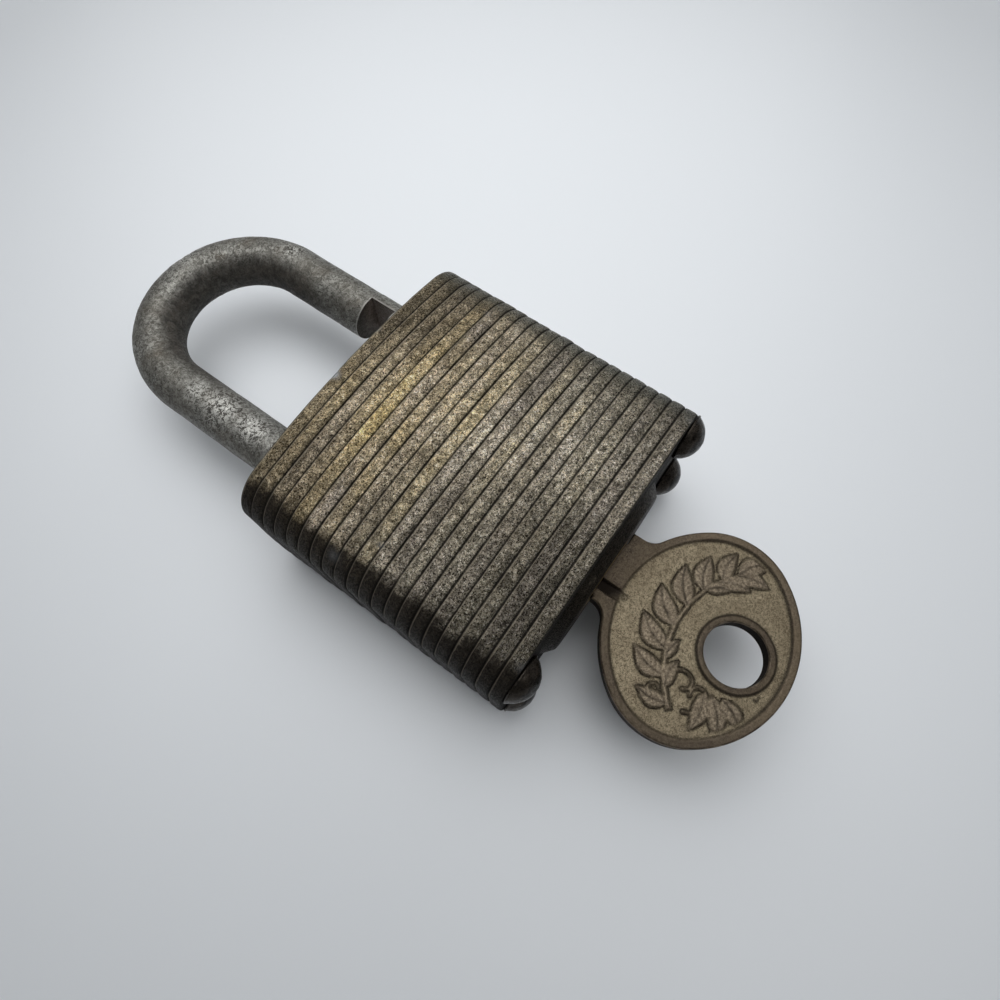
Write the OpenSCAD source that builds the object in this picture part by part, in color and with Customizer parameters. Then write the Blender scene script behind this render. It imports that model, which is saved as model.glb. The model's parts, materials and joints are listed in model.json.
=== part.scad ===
// Laminated steel padlock, unlocked, with its shackle sprung up and the key in the keyway.
// It lies on its back: X runs across the body, Y towards the shackle, Z up through the thickness.
// The origin is the middle of the narrow flat strip that the back rests on.
// As drawn, the plug is half a turn from home, so the bolt is drawn back and the shackle is free.

/* [Body] */
// Width of the body, across both shackle legs
body_w = 40; // [38:0.5:48]
// Thickness of the body at its middle, front to back
body_t = 21.5; // [18:0.5:26]
// Thickness of one plate of the stack
plate_t = 1.7; // [1.45:0.05:2.1]
// Radius of the rounded corners of the plates
corner_r = 5; // [4:0.5:6]
// Fall of the bulged front and back from their middle to the corners
face_crown = 1.2; // [0.8:0.1:2]
// Width of the flat strip that the back rests on
rest_flat_w = 9; // [6:0.5:12]

/* [Bottom boss] */
// Width of the boss pressed out around the keyway
boss_w = 24; // [20:0.5:26]
// Size of the boss front to back
boss_t = 14.5; // [13:0.5:16]
// Height of the boss
boss_h = 1.2; // [0.8:0.1:1.6]
// Run of the sloped edge of the boss
boss_slope = 1.2; // [0.6:0.1:1.6]

/* [Rivets] */
// Diameter of the rivet shanks
rivet_d = 3.2; // [2.6:0.1:3.4]
// Diameter of the round rivet heads under the body
rivet_head_d = 5.9; // [5:0.1:6.2]
// Height of the round rivet heads
rivet_head_h = 2.2; // [1.6:0.1:2.8]
// Diameter of the hammered rivet ends on the top plate
rivet_end_d = 4.4; // [4:0.1:5]
// Height of the hammered rivet ends
rivet_end_h = 0.45; // [0.3:0.05:0.8]
// Distance from the side of the body to the rivets
rivet_inset_x = 3.3; // [3.1:0.1:3.8]
// Distance from the front of the body to the rivets
rivet_inset_z = 5.15; // [4.8:0.05:5.4]

/* [Shackle] */
// Diameter of the shackle bar
bar_d = 6.6; // [5.5:0.1:8]
// Distance between the middles of the two legs
leg_pitch = 22.9; // [22.5:0.1:27.5]
// Clear height inside the raised shackle, from the body to the bow
open_clearance = 29.7; // [26:0.1:45]
// Gap between the toe and the body when the shackle is raised
toe_lift = 1.9; // [1:0.1:3]
// Depth of the bolt notch past the middle of the toe leg
notch_past_middle = 0.7; // [0:0.1:1]
// Diameter of the long neck that the heel leg slides on
heel_neck_d = 4.4; // [3.8:0.1:4.8]
// Height of the round foot at the end of the heel leg
heel_foot_h = 2; // [1.5:0.1:2.2]

/* [Cylinder] */
// Sideways offset of the cylinder from the middle of the body
cylinder_x = -0.5; // [-0.8:0.1:0]
// Diameter of the turning plug
plug_d = 9.2; // [9:0.1:9.6]
// Wall of the cylinder shell around the plug
shell_wall = 1.35; // [1.2:0.05:1.5]
// Reach of the pin chamber, from the plug's axis to its cover
chamber_reach = 12; // [11:0.1:12.4]
// Width of the pin chamber, front to back
chamber_w = 5.4; // [4.8:0.1:6]
// Diameter of the pins
pin_d = 2.6; // [2.2:0.1:2.7]
// Distance from the plug's flange to the middle of the first pin
first_pin = 1.5; // [1.4:0.1:1.8]
// Distance from one pin to the next
pin_pitch = 3.3; // [3.1:0.05:3.4]

/* [Bolt] */
// Throw of the crank pin that drives the bolt, half of the bolt's travel
crank_throw = 1.6; // [1.2:0.05:1.65]
// Diameter of the crank pin
crank_pin_d = 1.8; // [1.4:0.1:2]
// Diameter of the stem that carries the crank pin
stem_d = 6; // [5.6:0.1:6.4]
// Width of the bolt, front to back
bolt_w = 9; // [8.4:0.1:10]
// Width of the bolt's nose
nose_w = 5.6; // [4.5:0.1:6.4]

/* [Key] */
// Thickness of the key
key_t = 2.2; // [1.9:0.1:2.4]
// Height of the uncut blade
blade_h = 7.4; // [7.2:0.1:7.6]
// Distance from the plug's axis to the straight back of the blade
blade_back = 3.9; // [3.8:0.05:4]
// Width of the neck between blade and bow
neck_w = 9.4; // [8.8:0.1:10]
// Length of the oval bow across the key
bow_w = 25.2; // [22:0.1:28]
// Length of the oval bow along the key
bow_l = 21.3; // [20:0.1:24]
// Radius of the two ends of the oval
bow_end_r = 8.5; // [8:0.1:9]
// Distance from the bottom of the body to the middle of the bow
bow_drop = 13.3; // [13:0.1:16]
// Diameter of the ring hole
ring_hole_d = 7; // [5:0.1:8]
// Distance from the middle of the bow to the middle of the ring hole
ring_hole_drop = 4.2; // [3.5:0.1:4.4]
// Width of the raised rim of the bow and of the collar around the ring hole
rim_w = 1.1; // [0.8:0.1:1.4]
// Depth of the sunk field inside the rim
field_depth = 0.25; // [0.1:0.05:0.4]

/* [Clearances] */
// Radial clearance of the shackle legs in their bores
leg_play = 0.2; // [0.1:0.05:0.3]
// Radial clearance of the plug and stem in their bores
turn_play = 0.05; // [0.03:0.01:0.1]
// Clearance of the bolt, keeper and clip in their pockets
slide_play = 0.1; // [0.05:0.01:0.15]
// Clearance of the key in the keyway
key_play = 0.08; // [0.05:0.01:0.1]
// Radial clearance of the rivets in the plates
rivet_play = 0.03; // [0.02:0.01:0.1]

/* [Hidden] */
$fn = 64;
PLATE_COUNT = 21;
PIN_COUNT = 4;
CUT = 1;

function plate_name(i) = str("plate_", i < 10 ? "0" : "", i);

// The jobs of the plates, counted down from the shackle end
BOLT_PLATE_TOP = 3;
BOLT_PLATE_LOW = 4;
TOE_FLOOR_PLATE = 7;
KEEPER_PLATE = 8;
CLIP_PLATE = 9;
SHELL_PLATE_TOP = 10;
SHELL_PLATE_LOW = 20;

// Body outline: two large face arcs joined by corner arcs, with the back trimmed flat
body_h = PLATE_COUNT * plate_t;
body_top = body_h / 2;
body_bottom = -body_h / 2;
corner_x = body_w / 2 - corner_r;
face_r = (corner_x * corner_x + face_crown * face_crown) / (2 * face_crown);
face_centre = body_t / 2 - face_r;
corner_rise = sqrt(pow(face_r - corner_r, 2) - corner_x * corner_x);
corner_z = face_centre + corner_rise;
corner_angle = atan2(corner_rise, corner_x);
rest_trim = face_r - sqrt(face_r * face_r - rest_flat_w * rest_flat_w / 4);
mid_z = body_t / 2 - rest_trim;

function top_of(i) = body_top - (i - 1) * plate_t;
function bottom_of(i) = body_top - i * plate_t;

// Rivets
rivet_x = body_w / 2 - rivet_inset_x;
rivet_z = body_t / 2 - rivet_inset_z;
rivet_spots = [for (sx = [-1, 1], sz = [-1, 1]) [sx * rivet_x, sz * rivet_z]];

// Shackle: the levels are those of the locked shackle, and lift raises them
bar_r = bar_d / 2;
leg_bore_r = bar_r + leg_play;
heel_x = -leg_pitch / 2;
toe_x = leg_pitch / 2;
toe_end = top_of(TOE_FLOOR_PLATE) + 0.3;
lift = body_top - toe_end + toe_lift;
bow_base = body_top + open_clearance + bar_r - leg_pitch / 2;
bolt_top = top_of(BOLT_PLATE_TOP) - slide_play;
bolt_low = bottom_of(BOLT_PLATE_LOW) + slide_play;
notch_top = bolt_top + 0.1;
notch_low = bolt_low - 0.6;
toe_chamfer = 0.6;
neck_top = top_of(KEEPER_PLATE) + 0.1;
neck_low = bottom_of(KEEPER_PLATE) - lift - 0.1;
foot_low = neck_low - heel_foot_h;

// Heel keeper, spring cap and shackle spring
// The keeper covers part of the wall between the heel's bore and the nearest rivet
rivet_wall = norm([rivet_x + heel_x, rivet_z]) - rivet_d / 2 - leg_bore_r;
keeper_share = 0.62;
keeper_r = leg_bore_r + keeper_share * rivet_wall;
cap_t = 0.8;
cap_r = bar_r - 0.1;
spigot_h = 1.2;
spring_wire = 0.6;
spring_mean_r = cap_r - spring_wire / 2 - 0.1;
spigot_r = spring_mean_r - spring_wire / 2 - 0.2;
cap_low = foot_low + lift - cap_t;
spring_turns = 7;

// Cylinder
plug_r = plug_d / 2;
plug_bore_r = plug_r + turn_play;
shell_r = plug_r + shell_wall;
cover_t = 0.6;
plug_face = body_bottom - boss_h;
plug_end = top_of(CLIP_PLATE) - slide_play;
shell_low = bottom_of(SHELL_PLATE_LOW);
shell_top = top_of(SHELL_PLATE_TOP);
flange_r = plug_r + 0.6;
flange_t = 1;
groove_r = plug_r - 0.95;
groove_low = shell_top + 0.1;
groove_w = 0.75;
clip_r = plug_r + 0.9;
clip_gap = 3;
pin_r = pin_d / 2;
pin_ys = [for (k = [0:PIN_COUNT - 1]) shell_low + flange_t + first_pin + k * pin_pitch];
pin_bore_r = pin_r + turn_play;
driver_l = 3;
driver_start = plug_r + 0.15;
pin_spring_wire = 0.3;
pin_spring_turns = 5;

// Stem, crank pin and bolt; the crank pin starts on the heel side of the axis
stem_r = stem_d / 2;
stem_low = plug_end + 0.05;
stem_top = bottom_of(BOLT_PLATE_LOW) - slide_play;
tab_l = 1.55;
tab_w = 1.9;
tab_half = groove_r - 0.25;
crank_pin_r = crank_pin_d / 2;
lost_motion = 0.21 * crank_throw + 0.12;
slot_half_x = crank_pin_r + lost_motion;
slot_half_z = crank_throw + crank_pin_r + 0.15;
slot_x = cylinder_x - crank_throw;
bolt_travel = 2 * crank_throw;
nose_end = toe_x - bar_r - 0.45;
pocket_wall = 0.6;
shoulder_x = toe_x - leg_bore_r - pocket_wall - 2 * slide_play - bolt_travel;
bolt_tail = slot_x - slot_half_x - 1.4;
pocket_start = heel_x + leg_bore_r + 0.8;
bolt_spring_wire = 0.4;
bolt_spring_turns = 4;
bolt_spring_mean_r = 1;

// Key
shoulder_y = plug_face - slide_play;
tip_y = pin_ys[PIN_COUNT - 1] + 2.1;
keyway_end = tip_y + 0.15;
back_x = cylinder_x + blade_back;
first_cut = 6.6;
cut_step = 0.7;
cut_flat = 0.7;
neck_left = cylinder_x - blade_back;
neck_right = neck_left + neck_w;
bow_x = cylinder_x - 0.3;
bow_y = body_bottom - bow_drop;
bow_end_x = bow_w / 2 - bow_end_r;
bow_side_r = (bow_end_x * bow_end_x + bow_l * bow_l / 4 - bow_end_r * bow_end_r) / (bow_l - 2 * bow_end_r);
ring_x = bow_x + 0.3;
ring_y = bow_y - ring_hole_drop;
ring_hole_r = ring_hole_d / 2;
neck_fillet_r = 2.2;
groove_depth = 0.7;
groove_1_x = back_x - 6.4;
groove_2_x = back_x - 3.4;
groove_run = 3.2;
ward_w = 1.3;

STEEL = [0.44, 0.40, 0.33];
DARK_STEEL = [0.20, 0.17, 0.15];
ZINC = [0.47, 0.46, 0.45];
BRASS = [0.62, 0.50, 0.28];
BRONZE = [0.42, 0.34, 0.25];
SPRING_STEEL = [0.30, 0.30, 0.30];

function arc(centre, r, from, to, steps) =
    [for (i = [0:steps]) centre + r * [cos(from + (to - from) * i / steps), sin(from + (to - from) * i / steps)]];

// A flat outline in X and Z, made solid from one level of Y to another
module between(y_low, y_high)
    translate([0, y_high, mid_z]) rotate([90, 0, 0]) linear_extrude(y_high - y_low) children();

// A round bar along Y about a point in X
module bar_along_y(x, r, y_low, y_high)
    translate([x, y_low, mid_z]) rotate([-90, 0, 0]) cylinder(h = y_high - y_low, r = r);

// A round bar along X from the plug's axis, on the side that side gives
module bar_along_x(y, r, from, to, side)
    translate([cylinder_x + side * from, y, mid_z]) rotate([0, side * 90, 0]) cylinder(h = to - from, r = r);

// A flat outline in X and Y, made solid about the middle of the body
module flat(thickness)
    translate([0, 0, mid_z - thickness / 2]) linear_extrude(thickness) children();

// A round wire coil that stands on Z = 0, with the wire's ends cut off square
module coil(length, mean_r, wire_d, turns, per_turn = 14) {
    sides = 6;
    rings = turns * per_turn;
    wire_r = wire_d / 2;
    points = [for (i = [0:rings], j = [0:sides - 1])
        let (a = 360 * i / per_turn, b = 360 * j / sides, r = mean_r + wire_r * cos(b))
        [r * cos(a), r * sin(a), wire_r + (length - wire_d) * i / rings + wire_r * sin(b)]];
    walls = [for (i = [0:rings - 1], j = [0:sides - 1])
        let (k = (j + 1) % sides, a = i * sides, b = a + sides)
        each [[a + j, b + j, b + k], [a + j, b + k, a + k]]];
    start = [for (j = [0:sides - 1]) j];
    end = [for (j = [sides - 1:-1:0]) rings * sides + j];
    polyhedron(points, concat([start], walls, [end]));
}

module plate_outline()
    intersection() {
        polygon(concat(
            arc([corner_x, corner_z], corner_r, 0, corner_angle, 8),
            arc([0, face_centre], face_r, corner_angle, 180 - corner_angle, 10),
            arc([-corner_x, corner_z], corner_r, 180 - corner_angle, 180, 8),
            arc([-corner_x, -corner_z], corner_r, 180, 180 + corner_angle, 8),
            arc([0, -face_centre], face_r, 180 + corner_angle, 360 - corner_angle, 10),
            arc([corner_x, -corner_z], corner_r, 360 - corner_angle, 360, 8)));
        translate([-body_w / 2, -mid_z]) square([body_w, mid_z + body_t / 2]);
    }

module leg_bore(x)
    translate([x, 0]) circle(r = leg_bore_r);

module pear_outline(reach, grow)
    translate([cylinder_x, 0]) {
        circle(r = shell_r + grow);
        translate([0, -chamber_w / 2 - grow]) square([reach + grow, chamber_w + 2 * grow]);
    }

module bolt_pocket() {
    half_w = bolt_w / 2 + slide_play;
    half_nose = nose_w / 2 + slide_play;
    shoulder_stop = shoulder_x + bolt_travel + slide_play;
    translate([pocket_start, -half_w]) square([shoulder_stop - pocket_start, 2 * half_w]);
    translate([slot_x, -half_nose]) square([toe_x - slot_x, 2 * half_nose]);
}

// What is punched out of plate i
module plate_holes(i) {
    for (p = rivet_spots)
        translate(p) circle(r = rivet_d / 2 + rivet_play);
    if (i <= SHELL_PLATE_LOW) leg_bore(heel_x);
    if (i < TOE_FLOOR_PLATE) leg_bore(toe_x);
    if (i == BOLT_PLATE_TOP || i == BOLT_PLATE_LOW) bolt_pocket();
    if (i > BOLT_PLATE_LOW && i <= KEEPER_PLATE)
        translate([cylinder_x, 0]) circle(r = stem_r + turn_play);
    if (i == KEEPER_PLATE)
        translate([heel_x, 0]) circle(r = keeper_r + slide_play);
    if (i == CLIP_PLATE)
        translate([cylinder_x, 0]) circle(r = clip_r + 3 * slide_play);
    if (i >= SHELL_PLATE_TOP && i <= SHELL_PLATE_LOW)
        pear_outline(chamber_reach + cover_t, slide_play);
}

module plate(i)
    color(STEEL) between(bottom_of(i), top_of(i)) difference() {
        plate_outline();
        plate_holes(i);
    }

// The boss is an oval with sloped sides: a cone at each end and a tapered block between them
module boss() {
    end_r = boss_t / 2;
    end_x = boss_w / 2 - end_r;
    for (x = [-end_x, end_x])
        translate([cylinder_x + x, body_bottom, mid_z]) rotate([90, 0, 0])
            cylinder(h = boss_h, r1 = end_r, r2 = end_r - boss_slope);
    translate([cylinder_x - end_x, body_bottom, mid_z]) rotate([90, 0, 90]) linear_extrude(2 * end_x)
        polygon([[0, -end_r], [0, end_r], [-boss_h, end_r - boss_slope], [-boss_h, boss_slope - end_r]]);
}

module bottom_plate()
    color(STEEL) difference() {
        union() {
            plate(PLATE_COUNT);
            boss();
        }
        bar_along_y(cylinder_x, plug_bore_r, plug_face - CUT, top_of(PLATE_COUNT) + CUT);
    }

// A shallow dome on Z = 0, the cap of a larger ball
module dome(r, h) {
    ball_r = (r * r + h * h) / (2 * h);
    intersection() {
        translate([0, 0, h - ball_r]) sphere(r = ball_r);
        cylinder(h = h + CUT, r = r);
    }
}

module rivets()
    color(DARK_STEEL) for (p = rivet_spots) {
        translate([p[0], 0, mid_z + p[1]]) {
            translate([0, body_bottom, 0]) rotate([-90, 0, 0]) cylinder(h = body_h, r = rivet_d / 2);
            translate([0, body_bottom, 0]) rotate([90, 0, 0]) dome(rivet_head_d / 2, rivet_head_h);
            translate([0, body_top, 0]) rotate([-90, 0, 0]) dome(rivet_end_d / 2, rivet_end_h);
        }
    }

module shackle()
    color(ZINC) translate([0, lift, 0]) difference() {
        union() {
            translate([0, bow_base - lift, mid_z])
                rotate_extrude(angle = 180) translate([leg_pitch / 2, 0]) circle(r = bar_r);
            bar_along_y(heel_x, bar_r, neck_top, bow_base - lift);
            bar_along_y(heel_x, heel_neck_d / 2, neck_low, neck_top);
            bar_along_y(heel_x, bar_r, foot_low, neck_low);
            bar_along_y(toe_x, bar_r, toe_end + toe_chamfer, bow_base - lift);
            translate([toe_x, toe_end, mid_z]) rotate([-90, 0, 0])
                cylinder(h = toe_chamfer, r1 = bar_r - toe_chamfer, r2 = bar_r);
        }
        translate([toe_x - bar_r - CUT, notch_low, mid_z - bar_r - CUT])
            cube([bar_r + CUT + notch_past_middle, notch_top - notch_low, bar_d + 2 * CUT]);
    }

// A washer with an open side, pushed over the heel's neck from the edge of its plate
module heel_keeper()
    color(SPRING_STEEL) between(bottom_of(KEEPER_PLATE) + slide_play / 2, top_of(KEEPER_PLATE) - slide_play / 2)
        translate([heel_x, 0]) difference() {
            circle(r = keeper_r);
            circle(r = heel_neck_d / 2 + leg_play);
            translate([-keeper_r - CUT, -heel_neck_d / 2 - leg_play])
                square([keeper_r + CUT, heel_neck_d + 2 * leg_play]);
        }

module spring_cap()
    color(SPRING_STEEL) {
        bar_along_y(heel_x, cap_r, cap_low, cap_low + cap_t);
        bar_along_y(heel_x, spigot_r, cap_low - spigot_h, cap_low);
    }

module shackle_spring()
    color(SPRING_STEEL) translate([heel_x, shell_low, mid_z]) rotate([-90, 0, 0])
        coil(cap_low - shell_low, spring_mean_r, spring_wire, spring_turns);

module locking_bolt()
    color(BRASS) between(bolt_low, bolt_top) difference() {
        union() {
            translate([bolt_tail, -bolt_w / 2]) square([shoulder_x - bolt_tail, bolt_w]);
            translate([slot_x, -nose_w / 2]) square([nose_end - slot_x, nose_w]);
        }
        for (z = [-1, 1])
            translate([slot_x, z * (slot_half_z - slot_half_x)]) circle(r = slot_half_x);
        translate([slot_x - slot_half_x, slot_half_x - slot_half_z])
            square([2 * slot_half_x, 2 * (slot_half_z - slot_half_x)]);
    }

module bolt_spring()
    color(SPRING_STEEL) translate([pocket_start, (bolt_low + bolt_top) / 2, mid_z]) rotate([0, 90, 0])
        coil(bolt_tail - pocket_start, bolt_spring_mean_r, bolt_spring_wire, bolt_spring_turns);

module cylinder_shell()
    color(BRASS) difference() {
        between(shell_low, shell_top) pear_outline(chamber_reach, 0);
        bar_along_y(cylinder_x, plug_bore_r, shell_low - CUT, shell_top + CUT);
        bar_along_y(cylinder_x, flange_r + slide_play, shell_low - CUT, shell_low + flange_t + slide_play);
        for (y = pin_ys)
            bar_along_x(y, pin_bore_r, 0, chamber_reach + CUT, 1);
    }

// The keyway's section: a slot for the blade, with two wards that fit the blade's grooves
module keyway()
    difference() {
        flat(key_t + 2 * key_play)
            translate([back_x - blade_h - key_play, plug_face - CUT])
                square([blade_h + 2 * key_play, keyway_end - plug_face + CUT]);
        for (side = [1, -1])
            translate([(side == 1 ? groove_1_x : groove_2_x) + key_play, plug_face - 2 * CUT,
                    side == 1 ? mid_z + key_t / 2 - groove_depth + key_play : mid_z - key_t / 2 - CUT])
                cube([ward_w - 2 * key_play, keyway_end - plug_face + 3 * CUT, groove_depth - key_play + CUT]);
    }

module plug()
    color(BRASS) difference() {
        union() {
            bar_along_y(cylinder_x, plug_r, plug_face, groove_low);
            bar_along_y(cylinder_x, flange_r, shell_low, shell_low + flange_t);
            bar_along_y(cylinder_x, groove_r, groove_low, groove_low + groove_w);
            bar_along_y(cylinder_x, plug_r, groove_low + groove_w, plug_end);
        }
        keyway();
        for (y = pin_ys)
            bar_along_x(y, pin_bore_r, 0, plug_r + CUT, -1);
        translate([cylinder_x - plug_r - CUT, plug_end - tab_l - 0.05, mid_z - tab_w / 2 - slide_play / 2])
            cube([2 * (plug_r + CUT), tab_l + CUT, tab_w + slide_play]);
    }

module plug_clip()
    color(SPRING_STEEL) between(groove_low + slide_play / 2, groove_low + groove_w - slide_play / 2)
        translate([cylinder_x, 0]) difference() {
            circle(r = clip_r);
            circle(r = groove_r + slide_play / 2);
            translate([0, -clip_gap / 2]) square([clip_r + CUT, clip_gap]);
        }

module tailpiece()
    color(SPRING_STEEL) {
        bar_along_y(cylinder_x, stem_r, stem_low, stem_top);
        bar_along_y(slot_x, crank_pin_r, stem_top, bolt_top);
        translate([cylinder_x - tab_half, plug_end - tab_l, mid_z - tab_w / 2])
            cube([2 * tab_half, tab_l + stem_low - plug_end, tab_w]);
    }

// Key pins stand on the cuts of the blade and end flush with the plug
module key_pins()
    color(BRASS) for (k = [0:PIN_COUNT - 1]) {
        start = first_cut - k * cut_step - blade_back + slide_play / 2;
        tip = 0.6;
        end = sqrt(plug_r * plug_r - pin_r * pin_r) - 0.02;
        translate([cylinder_x - start, pin_ys[k], mid_z]) rotate([0, -90, 0])
            cylinder(h = tip, r1 = pin_r - tip, r2 = pin_r);
        bar_along_x(pin_ys[k], pin_r, start + tip, end, -1);
    }

module driver_pins()
    color(SPRING_STEEL) for (y = pin_ys)
        bar_along_x(y, pin_r, driver_start, driver_start + driver_l, 1);

module pin_springs()
    color(SPRING_STEEL) for (y = pin_ys) {
        start = driver_start + driver_l;
        translate([cylinder_x + start, y, mid_z]) rotate([0, 90, 0])
            coil(chamber_reach - start, pin_r - 0.2 - pin_spring_wire / 2, pin_spring_wire, pin_spring_turns, 9);
    }

module spring_cover()
    color(BRASS) translate([cylinder_x + chamber_reach, shell_low, mid_z - chamber_w / 2])
        cube([cover_t, shell_top - shell_low, chamber_w]);

// An oval of four arcs, smaller all round by inset
module bow_outline(inset) {
    side_drop = bow_side_r - bow_l / 2;
    translate([bow_x, bow_y]) {
        for (x = [-bow_end_x, bow_end_x])
            translate([x, 0]) circle(r = bow_end_r - inset);
        intersection() {
            translate([0, side_drop]) circle(r = bow_side_r - inset);
            translate([0, -side_drop]) circle(r = bow_side_r - inset);
            square([2 * bow_end_x * (1 + bow_end_r / (bow_side_r - bow_end_r)), bow_l], center = true);
        }
    }
}

// The rounded corner between the neck's side at x and the bow; side is -1 for left and 1 for right
module neck_fillet(x, side) {
    arc_centre = [bow_x, bow_y + bow_l / 2 - bow_side_r];
    reach = bow_side_r + neck_fillet_r;
    run = x + side * neck_fillet_r - bow_x;
    centre = arc_centre + [run, sqrt(reach * reach - run * run)];
    on_bow = arc_centre + (centre - arc_centre) * bow_side_r / reach;
    difference() {
        polygon([centre, [x, centre[1]], [x - side * CUT, centre[1]], [x - side * CUT, on_bow[1] - CUT],
                 on_bow - [0, CUT], on_bow]);
        translate(centre) circle(r = neck_fillet_r);
    }
}

// The blade's cut edge falls in steps towards the tip, one flat under each pin
module blade_outline() {
    flats = [for (k = [0:PIN_COUNT - 1], side = [-1, 1])
        [back_x - first_cut + k * cut_step, pin_ys[k] + side * cut_flat]];
    tip_h = first_cut - PIN_COUNT * cut_step;
    polygon(concat(
        [[back_x, shoulder_y - CUT], [back_x - blade_h, shoulder_y - CUT], [back_x - blade_h, pin_ys[0] - 1.6]],
        flats,
        [[back_x - tip_h, tip_y - 0.8], [back_x - tip_h / 2 - 0.6, tip_y], [back_x - 0.8, tip_y],
         [back_x, tip_y - 0.8]]));
}

module key()
    color(BRONZE) difference() {
        union() {
            flat(key_t) blade_outline();
            flat(key_t) translate([neck_left, bow_y]) square([neck_w, shoulder_y - bow_y]);
            flat(key_t) bow_outline(0);
            flat(key_t) neck_fillet(neck_left, -1);
            flat(key_t) neck_fillet(neck_right, 1);
        }
        flat(key_t + 2 * CUT) translate([ring_x, ring_y]) circle(r = ring_hole_r);
        for (side = [-1, 1])
            translate([0, 0, side * (key_t - field_depth + CUT) / 2]) flat(field_depth + CUT)
                difference() {
                    bow_outline(rim_w);
                    translate([ring_x, ring_y]) circle(r = ring_hole_r + rim_w);
                }
        for (side = [-1, 1])
            translate([side == 1 ? groove_1_x : groove_2_x, 0, mid_z + side * key_t / 2])
                blade_groove(side);
    }

// A milled groove along the blade, whose floor climbs out to a point in the neck
module blade_groove(side)
    rotate([90, 0, 90]) linear_extrude(ward_w)
        polygon([[tip_y + CUT, side * CUT], [tip_y + CUT, -side * groove_depth],
                 [shoulder_y - 0.6, -side * groove_depth], [shoulder_y - 0.6 - groove_run, side * 0.05],
                 [shoulder_y - 0.6 - groove_run, side * CUT]]);

for (i = [1:PLATE_COUNT - 1])
    plate(i);
bottom_plate();
rivets();
shackle();
heel_keeper();
spring_cap();
shackle_spring();
locking_bolt();
bolt_spring();
cylinder_shell();
plug();
plug_clip();
tailpiece();
key_pins();
driver_pins();
pin_springs();
spring_cover();
key();
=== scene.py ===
import math
import json

import bpy
import numpy as np
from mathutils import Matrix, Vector, noise
from mathutils.geometry import delaunay_2d_cdt, tessellate_polygon


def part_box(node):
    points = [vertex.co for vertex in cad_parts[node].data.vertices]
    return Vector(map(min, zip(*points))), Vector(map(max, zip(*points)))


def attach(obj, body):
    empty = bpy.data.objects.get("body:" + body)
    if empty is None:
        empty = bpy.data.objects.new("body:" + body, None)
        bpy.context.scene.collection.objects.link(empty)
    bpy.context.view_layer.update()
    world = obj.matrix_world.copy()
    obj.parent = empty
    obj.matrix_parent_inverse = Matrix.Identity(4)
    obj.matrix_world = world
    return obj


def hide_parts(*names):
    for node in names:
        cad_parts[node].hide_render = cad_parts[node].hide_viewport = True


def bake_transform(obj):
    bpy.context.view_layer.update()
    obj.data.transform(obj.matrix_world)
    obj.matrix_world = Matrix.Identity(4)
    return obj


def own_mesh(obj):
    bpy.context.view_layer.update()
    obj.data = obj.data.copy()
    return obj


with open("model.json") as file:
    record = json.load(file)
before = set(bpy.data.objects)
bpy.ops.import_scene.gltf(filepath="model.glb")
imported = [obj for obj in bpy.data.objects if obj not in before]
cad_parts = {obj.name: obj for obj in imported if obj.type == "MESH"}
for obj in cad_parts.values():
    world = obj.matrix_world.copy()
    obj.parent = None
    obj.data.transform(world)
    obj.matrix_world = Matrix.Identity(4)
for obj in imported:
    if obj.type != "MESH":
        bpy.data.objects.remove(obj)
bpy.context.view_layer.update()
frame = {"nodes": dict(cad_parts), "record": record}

# ---------------------------------------------------------------- Bench, camera and light
# The padlock lies on its back on a satin white bench top, under soft lamps in a pale room.
# The camera looks down on it from over the heel side and the key.
MM = 0.001
CAMERA_SPOT = Vector((-23.27, -21.04, 82.27)) * MM
CAMERA_TURN = (21.822, 0.577, -54.265)
LENS = 22.952
SENSOR = 36.0
BENCH_COLOUR = (0.80, 0.83, 0.86, 1)
BENCH_HALF = 0.9
BENCH_CELLS = 24
BENCH_Z = -0.02 * MM
# Distances from the middle, in metres, between which the bench starts to glow: painted light that stands in
# for the room's own light where the lamps' light runs out
GLOW_PAST = (0.14, 0.22)

camera = bpy.data.objects.new("camera", bpy.data.cameras.new("camera"))
camera.data.sensor_width = SENSOR
camera.data.lens = LENS
camera.data.clip_start = 0.005
camera.location = CAMERA_SPOT
camera.rotation_euler = [math.radians(a) for a in CAMERA_TURN]
bpy.context.scene.collection.objects.link(camera)
bpy.context.scene.camera = camera
bpy.context.scene.view_settings.view_transform = "Standard"


class Value:
    """An output in a node tree, which can be added, taken away, multiplied and divided like a number."""

    def __init__(self, socket):
        self.socket = socket
        self.tree = socket.id_data

    def __add__(self, other):
        return calc("ADD", self, other)

    def __sub__(self, other):
        return calc("SUBTRACT", self, other)

    def __rsub__(self, other):
        return calc("SUBTRACT", other, self)

    def __mul__(self, other):
        return calc("MULTIPLY", self, other)

    def __rtruediv__(self, other):
        return calc("DIVIDE", other, self)


class Outputs:
    """A node's outputs, by name or number."""

    def __init__(self, node):
        self.node = node

    def __getitem__(self, key):
        return Value(self.node.outputs[key])


def set_inputs(node, entries):
    """Fills a node's inputs, each with a plain value or with the output that feeds it."""
    for key, entry in entries.items():
        if isinstance(entry, Value):
            entry.tree.links.new(entry.socket, node.inputs[key])
        else:
            node.inputs[key].default_value = entry


def feed(node, **entries):
    """Fills a node's named inputs, where Base_Color stands for Base Color."""
    set_inputs(node, {key.replace("_", " "): entry for key, entry in entries.items()})


def add(tree, kind, entries=None, **settings):
    """Adds a node to a tree and returns its outputs."""
    made = tree.nodes.new("ShaderNode" + kind)
    for key, value in settings.items():
        setattr(made, key, value)
    set_inputs(made, entries or {})
    return Outputs(made)


def calc(operation, *values, clamp=False):
    """One step of arithmetic."""
    tree = next(value.tree for value in values if isinstance(value, Value))
    return add(tree, "Math", dict(enumerate(values)), operation=operation, use_clamp=clamp)[0]


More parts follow.
